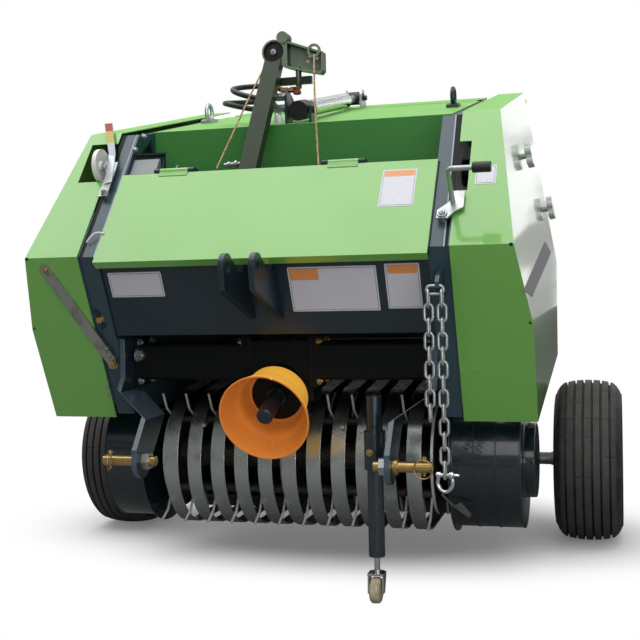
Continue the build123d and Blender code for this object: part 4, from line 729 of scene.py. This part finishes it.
chain = {"y": -787.0, "pitch": 27.45, "rod": 6.0, "halfLong": 16.7, "halfWide": 8.0, "top": (370.0, 651.6),
         "first": 634.95, "strands": ((357.0, 9), (383.0, 13))}
across, deep, up = [Vector(one) / 1000 for one in (rightward, backward, upward)]
links = [(at(chain["top"][0], chain["y"], chain["top"][1]), across, up)]
for x, count in chain["strands"]:
    links += [(at(x, chain["y"], chain["first"] - i * chain["pitch"]), up, across if i % 2 else deep)
              for i in range(count)]
loops = [linkPoints(centre, along, wide, chain["halfLong"], chain["halfWide"])
         for centre, along, wide in links]
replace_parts(addLoops("chainLinks", loops, chain["rod"], "zinc"), "chain")

shackle = {
    "x": 383.0, "y": -787.0, "z": 295.9, "rod": 7.0, "ears": (-12, 12), "earHalf": 4, "pinFrom": -17,
    "bow": [(-12, 5), (-13, -6), (-15, -14), (-13, -23), (-7, -30), (0, -33), (7, -30), (13, -23), (15, -14),
            (13, -6), (12, 5)],
    "pin": [(0.1, 0), (4, 0), (4, 29), (6.5, 30), (6.5, 33), (3, 34), (3, 42), (1.5, 45), (0.1, 46)],
    "ear": [(3.9, 0), (7, 0.6), (7.4, 4), (7, 7.4), (3.9, 8)],
}
bow = [at(shackle["x"] + x, shackle["y"], shackle["z"] + z) for x, z in shackle["bow"]]
addRod("shackleBow", bow, shackle["rod"], "chrome")
bm = bmesh.new()
middle = planeAt(at(shackle["x"], shackle["y"], shackle["z"]), backward, rightward)
addLathe(bm, offsetPlane(middle, 0, 0, shackle["pinFrom"]), shackle["pin"], 16)
for side in shackle["ears"]:
    addLathe(bm, offsetPlane(middle, 0, 0, side - shackle["earHalf"]), shackle["ear"], 20)
newPiece("shacklePin", bm, "chrome")
print("chain done")

# clips in the hitch pins: a ring and its peg
linch = {
    "radius": 18.5, "rod": 3.2, "pegY": -748, "pegZ": 284,
    "peg": [(0.1, 0), (2.6, 1), (3.5, 4), (3.5, 32), (5.5, 33), (5.5, 38), (3, 40), (0.1, 40)],
    "Right": {"x": 336, "ring": (336, -763, 301), "across": (1, 0, 0)},
    "Left": {"x": -338, "ring": (-338, -756, 300), "across": (0.25, -0.97, 0)},
}
for word in ("Right", "Left"):
    one = linch[word]
    ring = ringPoints(at(*one["ring"]), Vector(one["across"]) / 1000, up, linch["radius"])
    addLoops("linchRing" + word, [ring], linch["rod"], "brassZinc")
    turnedPiece("linchPeg" + word, planeAt(at(one["x"], linch["pegY"], linch["pegZ"]), rightward, upward),
                linch["peg"], 16, "brassZinc")


# bolts
def boltAt(x, y, z, facing, size):
    return planeAt(at(x, y, z), upward if abs(facing[2]) < 0.5 else rightward, facing), 0, 0, 0, size


bolts = {
    # the beam's end flanges and the gearbox flanges: y and z of both rows
    "flanges": ((-607, 545), (-607, 459), (-543, 545), (-543, 459)), "flangeSize": 1.05,
    "endFlange": 330, "boxFlange": 85,
    "zinc": [
        boltAt(-352, -640, 517, leftward, 1.5), boltAt(-330, -620, 517, rightward, 1.7),
        boltAt(352, -620, 512, rightward, 1.5), (slope, -381, 180, 9.5, 0.9), (slope, 377, 74, 11.5, 0.9),
        boltAt(-352, -506, 1018, rightward, 0.9), boltAt(-352, -557, 982, rightward, 0.9),
        (front, -399, -318, 0.2, 0.45), (front, -399, -338, 0.2, 0.45), (front, -398, -384, 0.2, 0.45)],
    "brass": [
        (front, -368, (503 - nose[1]) / math.cos(frontAngle), 5.5, 1.2), (front, -470, -25, 5.5, 0.6),
        (front, -378, -150, -5, 1.1), boltAt(207, -664, 316, (-0.1, -1, 0), 0.85)],
    "mast": [
        boltAt(22, -386, 1198, frontward, 0.45), boltAt(38, -386, 1192, frontward, 0.45),
        boltAt(16, -386, 1186, frontward, 0.45), boltAt(-68, -385, 1216, frontward, 0.8)],
}
zincBolts, brassBolts = [], []
for sign in (-1, 1):
    for y, z in bolts["flanges"]:
        zincBolts.append(boltAt(sign * bolts["endFlange"], y, z, (-sign, 0, 0), bolts["flangeSize"]))
        brassBolts.append(boltAt(sign * bolts["boxFlange"], y, z, (sign, 0, 0), bolts["flangeSize"]))
addBolts("zincBolts", zincBolts + bolts["zinc"], "zinc")
addBolts("brassBolts", brassBolts + bolts["brass"], "brassZinc")
addBolts("mastBolts", bolts["mast"], "zinc")
print("bolts done")

# labels: plane, middle, height over it, size, finish, and the coloured header's middle and size
labels = {
    "lid": (slope, 278, 160, 0, 72, 103, "labelWhite", (278, 200, 62, 16)),
    "coverRight": (slope, 455, 185, 0, 42, 52, "labelWhite", None),
    "frontSilver": (front, -278, -72, -10, 122, 58, "labelSilver", None),
    "frontWide": (front, 152.5, -91.5, -10, 184, 100, "labelSilver", (94.5, -58, 60, 25)),
    "frontTall": (front, 296.5, -88.5, -10, 70, 99, "labelSilver", (297, -51, 60, 19)),
}
for name, (plane, x, y, out, width, height, finish, header) in labels.items():
    bm = bmesh.new()
    addPlate(bm, offsetPlane(plane, x, y, out), width, height, 0.5, 3)
    # a thin printed frame, and the field inside it
    addPlate(bm, offsetPlane(plane, x, y, out + 0.5), width - 6, height - 6, 0.12, 2, 1)
    addPlate(bm, offsetPlane(plane, x, y, out + 0.62), width - 7.6, height - 7.6, 0.12, 2, 0)
    if header:
        addPlate(bm, offsetPlane(plane, header[0], header[1], out + 0.74), header[2], header[3], 0.15, 1.5, 2)
    newPiece(name + "Label", bm, [finish, "labelInk", "labelOrange"], "lid" if name == "lid" else "frame")

# flat trim cut to an outline: the stripe, the loose strip beside the pickup, and along the posts near-black
# strips in the gaps as painted shadow and pale strips on the folds as painted highlight
trim = {
    "coverStripe": {"plane": sidePanel, "thick": 0.5, "finish": "decalGrey", "outlines": [
        [(y + 679, (z - 583) / 0.985) for y, z in ((-47, 759), (78, 732), (-621, 631), (-751, 647))]]},
    "looseStrip": {"plane": planeAt(at(0, -545, 0), rightward, frontward), "thick": 1.5, "bevel": 0.0004,
                   "finish": "stripSteel", "outlines": [
                       [(335, 210), (339, 213), (363, 188), (360, 184)],
                       [(360, 185), (378, 194), (401, 169), (395, 161)]]},
    # painted shadow: near-black strips in the gaps beside the posts
    "postGapShadows": {"plane": offsetPlane(slope, 0, 0, -5.2), "thick": 0.4, "finish": "beamPaint", "outlines": [
        [(382, 372), (394.6, 372), (394.6, 2), (386, 2)],
        [(-394.6, 372), (-383, 372), (-385, 2), (-394.6, 2)],
        [(355, 236), (357.6, 236), (357, 2), (355, 2)]]},
    # painted highlight: pale strips along the posts' folded edges
    "postFoldHighlights": {"plane": offsetPlane(slope, 0, 0, -5.2), "thick": 0.4, "finish": "ridgePaint", "outlines": [
        [(379, 372), (381.6, 372), (385.6, 2), (383, 2)],
        [(-359.5, 372), (-357, 372), (-357, 2), (-359.5, 2)]]},
}
for name, one in trim.items():
    bm = bmesh.new()
    for outline in one["outlines"]:
        addOutline(bm, one["plane"], outline, one["thick"])
    newPiece(name, bm, one["finish"], bevel=one.get("bevel"))

# coloured bands along the indicator's arm, from its left and right edges
arm = {"left": ((-402, 298), (-441, 397)), "right": ((-385, 297), (-423, 402)), "inset": 0.3, "out": 10.9,
       "thick": 0.4,
       "stripes": (("stripeRed", 372, 399), ("stripeYellow", 332, 372), ("stripeWhite", 292, 332))}


def armEdge(side, s):
    (x0, s0), (x1, s1) = arm[side]
    inset = arm["inset"] if side == "left" else -arm["inset"]
    return x0 + (x1 - x0) * (s - s0) / (s1 - s0) + inset, s


for finish, start, end in arm["stripes"]:
    bm = bmesh.new()
    corners = [armEdge("left", start), armEdge("right", start), armEdge("right", end), armEdge("left", end)]
    addOutline(bm, offsetPlane(slope, 0, 0, arm["out"]), corners, arm["thick"])
    newPiece(finish + "Band", bm, finish)
print("labels and trim done")

# black fills as painted shade in the corner holes of the covers, the holes in the stand's leg, and the slot
# beside the left post
holeShadows = {
    "cover": [(513, -1.5, 3.6, 0.6), (-513, -1.5, 3.6, 0.6), (541, -169, 2.8, 0.5), (-541, -169, 2.8, 0.5)],
    "leg": [planeAt(at(213, -658.6, z), rightward, (-0.06, -1, 0)) for z in (369, 156)],
    "slot": [(-388, -126), (-377, -130), (-369, -170), (-380, -176)],
}
bm = bmesh.new()
for x, s, radius, rise in holeShadows["cover"]:
    addLathe(bm, offsetPlane(front, x, s), [(0.1, rise), (radius, rise), (radius + 0.2, -1), (0.1, -1)], 16)
for plane in holeShadows["leg"]:
    addLathe(bm, plane, [(0.1, 0.6), (4.4, 0.6), (4.6, -2), (0.1, -2)], 18)
addOutline(bm, offsetPlane(front, 0, 0, -3), holeShadows["slot"], 0.6)
newPiece("holeShadows", bm, "blackPlastic")

# a wire hook on the left post
hook = {"rod": 3.5, "points": [(-384, 40, 0), (-378, 50, 4), (-370, 60, 6), (-358, 64, 5), (-350, 63, 1)]}
addRod("latchHook", [slope @ Vector(point) for point in hook["points"]], hook["rod"], "whitePlastic")

# sleeves round the stub axles
axleSleeve = {"x": 493, "outline": [(15.1, 0), (17, 0), (17, 10), (15.6, 12), (15.6, 44), (17.5, 45),
                                    (17.5, 50), (15.6, 51), (15.6, 64), (15.1, 64)]}
bm = bmesh.new()
for sign in (-1, 1):
    addLathe(bm, planeAt(at(sign * axleSleeve["x"], 0, wheel["z"]), backward, (sign, 0, 0)),
             axleSleeve["outline"], 32)
newPiece("axleSleeves", bm, "leverSteel")

# the mast's clip, and the twine's eye and guide
mastClip = {"place": (-83, -396, 1021), "size": (11, 19, 10), "corner": 1}
bm = bmesh.new()
addPlate(bm, planeAt(at(*mastClip["place"]), rightward, frontward), *mastClip["size"], mastClip["corner"])
newPiece("mastClip", bm, "blackPlastic")
twineGuide = {
    "eye": (-82, -400, 1030), "eyeRadius": 3.2, "eyeLong": 9, "rod": (-126, -580, 934),
    "outline": [(0.1, 0), (4, 0), (4, 8), (6.5, 9), (6.5, 14), (4, 15), (4, 24), (7.5, 25), (7.5, 31),
                (3.5, 32), (3.5, 38), (0.1, 38)],
}
bm = bmesh.new()
addCylinder(bm, planeAt(at(*twineGuide["eye"]), rightward, (0.1, 0, 1)), twineGuide["eyeRadius"],
            twineGuide["eyeLong"], 12)
addLathe(bm, planeAt(at(*twineGuide["rod"]), backward, (1, 0, 0.05)), twineGuide["outline"], 20)
newPiece("twineGuide", bm, "zinc")

# turned fittings: the hose elbow's nut and tube, the rim of the stand's open tube, and a black disc in its
# bore as painted shade
turned = {
    "elbowNut": {"place": (-8, -398, 1110), "axes": (rightward, upward), "steps": 20, "finish": "rustBrown",
                 "outline": [(0.1, 0), (7, 0), (9.5, 2), (9.5, 8), (7.5, 9), (7.5, 13), (9.5, 14), (9.5, 17),
                             (6, 18), (0.1, 18)]},
    "elbowTube": {"place": (-16, -398, 1122), "axes": (upward, leftward), "steps": 6, "finish": "brassZinc",
                  "outline": [(0.1, 0), (7, 0), (7, 8), (5.5, 9), (5.5, 14), (6.6, 15), (6.6, 30), (5, 31),
                              (0.1, 31)]},
    "standRim": {"place": (214, -642, 431.6), "axes": (rightward, upward), "steps": 36, "finish": "darkPaint",
                 "body": "stand_leg",
                 "outline": [(0.1, 0.5), (13.2, 0.5), (13.2, 1.4), (14, 2), (16.4, 2), (17.3, 1.2),
                             (17.3, -1), (0.1, -1)]},
    # painted shade: a black disc down the stand tube's bore
    "standBoreShade": {"place": (214, -642, 432.2), "axes": (rightward, upward), "steps": 36,
                  "finish": "blackPlastic", "body": "stand_leg",
                  "outline": [(0.1, 0.2), (12.9, 0.2), (13, 0), (0.1, 0)]},
}
for name, one in turned.items():
    turnedPiece(name, planeAt(at(*one["place"]), *one["axes"]), one["outline"], one["steps"], one["finish"],
                one.get("body", "frame"))

# plates that close the ends of the reel's pan, a strip along its foot, and clips on two bands
panEnds = {"x": (352.2, -355.2), "outer": 216, "inner": 163, "from": -39, "step": 5, "count": 18, "thick": 3,
           "strip": (0, -233.5, 124), "stripSize": (704, 15, 2.5)}
turns = [math.radians(panEnds["from"] + i * panEnds["step"]) for i in range(panEnds["count"])]
sector = [(reel["y"] + radius * math.cos(turn), reel["z"] + radius * math.sin(turn))
          for radius, way in ((panEnds["outer"], turns), (panEnds["inner"], turns[::-1])) for turn in way]
bm = bmesh.new()
for x in panEnds["x"]:
    addOutline(bm, planeAt(at(x, 0, 0), backward, rightward), sector, panEnds["thick"])
addPlate(bm, planeAt(at(*panEnds["strip"]), rightward, frontward), *panEnds["stripSize"], 0)
# the pan's ends and strip in near black: painted shade
newPiece("panEnds", bm, "innerPaint")
bandClips = {"places": ((-204, -536, 352), (121, -536, 352)), "size": (8, 7, 12), "corner": 1}
bm = bmesh.new()
for place in bandClips["places"]:
    addPlate(bm, planeAt(at(*place), rightward, frontward), *bandClips["size"], bandClips["corner"])
newPiece("bandClips", bm, "zinc")

# seams round the pickup's end housings
seams = {"x": (452, 503.5, -452, 405), "radius": 150, "rise": 1.2, "half": (1.5, 2)}
low, high = seams["radius"] - 0.5, seams["radius"] + seams["rise"]
flat, foot = seams["half"]
bm = bmesh.new()
for x in seams["x"]:
    addLathe(bm, planeAt(at(x, reel["y"], reel["z"]), backward, rightward),
             [(low, -foot), (high, -flat), (high, flat), (low, foot)], 96)
newPiece("housingSeams", bm, "darkPaint")
print("fittings done")

# light and floor
light = {
    "sky": 0.31, "skyRange": (0.5, 1.4), "room": (0.3, 0.3, 0.3, 1), "patchScale": 13.0,
    "patches": (0.38, 1.35),
    "overhead": {"place": (-0.4, -0.6, 3.6), "aim": (0, 0.1, 0.4), "size": (4.5, 3.5), "power": 112.0},
    "key": {"place": (0.9, -3.6, 2.1), "aim": (0, -0.2, 0.5), "size": (2.2, 1.6), "power": 24.0},
    "frontFill": {"place": (1.9, -3.9, 0.55), "aim": (0, 0, 0.5), "size": (2.4, 1.0), "power": 28.0},
}
white = (1, 1, 1, 1)


def addWorld():
    world = bpy.data.worlds.new("studio")
    bpy.context.scene.world = world
    world.use_nodes = True
    tree = world.node_tree
    tree.nodes.clear()
    seen = addNode(tree, "ShaderNodeLightPath").outputs
    facing = axesOf(tree, "Generated")
    strength = times(tree, ranged(tree, facing[2], -0.1, 0.9, *light["skyRange"]), light["sky"])
    sky = addNode(tree, "ShaderNodeBackground", {"Color": white, "Strength": strength})
    plain = addNode(tree, "ShaderNodeBackground", {"Color": white, "Strength": 1.0})
    # reflections: a bright backdrop with soft patches behind the machine, a darker room in front
    patches = noise(tree, light["patchScale"], 3.0, kind="Generated")
    bright = ranged(tree, patches, 0.48, 0.55, *light["patches"])
    room = mixColour(tree, ranged(tree, facing[1], -0.2, 0.5, 0, 1), light["room"], white)
    mirrored = addNode(tree, "ShaderNodeBackground", {"Color": room, "Strength": bright})
    seenBy = addNode(tree, "ShaderNodeMixShader", {
        0: seen["Is Glossy Ray"], 1: sky.outputs[0], 2: mirrored.outputs[0]})
    mixed = addNode(tree, "ShaderNodeMixShader", {
        0: seen["Is Camera Ray"], 1: seenBy.outputs[0], 2: plain.outputs[0]})
    tree.links.new(mixed.outputs[0], addNode(tree, "ShaderNodeOutputWorld").inputs["Surface"])


def addLamp(name, setup):
    data = bpy.data.lights.new(name, "AREA")
    data.shape, data.energy = "RECTANGLE", setup["power"]
    data.size, data.size_y = setup["size"]
    place, aim = Vector(setup["place"]), Vector(setup["aim"])
    lamp = bpy.data.objects.new(name, data)
    turned = (aim - place).to_track_quat("-Z", "Y").to_matrix().to_4x4()
    lamp.matrix_world = Matrix.Translation(place) @ turned
    bpy.context.scene.collection.objects.link(lamp)


# the floor is white to the camera; its shadow fades out away from the machine and stays at the tyres
floor = {"colour": (0.86, 0.86, 0.87, 1), "lift": 0.1, "others": (0.26, 0.26, 0.26, 1),
         "stretch": (0.55, 1.0, 1.0), "shift": (0, -0.25, 0), "fade": (0.26, 0.6), "tyreY": 0.2,
         "tyreFade": (0.08, 0.3)}


def addFloor():
    bm = bmesh.new()
    bmesh.ops.create_grid(bm, x_segments=4, y_segments=4, size=30)
    mesh = bpy.data.meshes.new("studioFloor")
    bm.to_mesh(mesh)
    bm.free()
    obj = bpy.data.objects.new("studioFloor", mesh)
    bpy.context.scene.collection.objects.link(obj)
    tree, shader = newMaterial("floorWhite")
    tree.nodes.remove(shader)
    seen = addNode(tree, "ShaderNodeLightPath").outputs
    place = addNode(tree, "ShaderNodeMapping", {
        "Vector": placeOf(tree), "Scale": floor["stretch"], "Location": floor["shift"]}).outputs[0]
    away = addNode(tree, "ShaderNodeVectorMath", {0: place}, operation="LENGTH").outputs["Value"]
    parts = axesOf(tree)
    across = maths(tree, "SUBTRACT", maths(tree, "ABSOLUTE", parts[0]), wheel["x"] / 1000)
    along = maths(tree, "SUBTRACT", parts[1], floor["tyreY"])
    near = times(tree, ranged(tree, away, *floor["fade"], 0.0, 1.0, "SMOOTHSTEP"),
                 ranged(tree, distance(tree, across, along), *floor["tyreFade"], 0.25, 1.0))
    pale = addNode(tree, "ShaderNodeBsdfDiffuse", {"Color": floor["colour"]})
    lift = addNode(tree, "ShaderNodeEmission", {"Color": white, "Strength": floor["lift"]})
    lifted = addNode(tree, "ShaderNodeAddShader", {0: pale.outputs[0], 1: lift.outputs[0]})
    plain = addNode(tree, "ShaderNodeEmission", {"Color": white, "Strength": 1.0})
    shown = addNode(tree, "ShaderNodeMixShader", {0: near, 1: lifted.outputs[0], 2: plain.outputs[0]})
    dark = addNode(tree, "ShaderNodeBsdfDiffuse", {"Color": floor["others"]})
    mixed = addNode(tree, "ShaderNodeMixShader", {
        0: seen["Is Camera Ray"], 1: dark.outputs[0], 2: shown.outputs[0]})
    tree.links.new(mixed.outputs[0], tree.nodes["Material Output"].inputs["Surface"])
    mesh.materials.append(finishes["floorWhite"])


addWorld()
for name in ("overhead", "key", "frontFill"):
    addLamp(name, light[name])
addFloor()
bpy.context.scene.view_settings.view_transform = "Standard"
print("lights set")
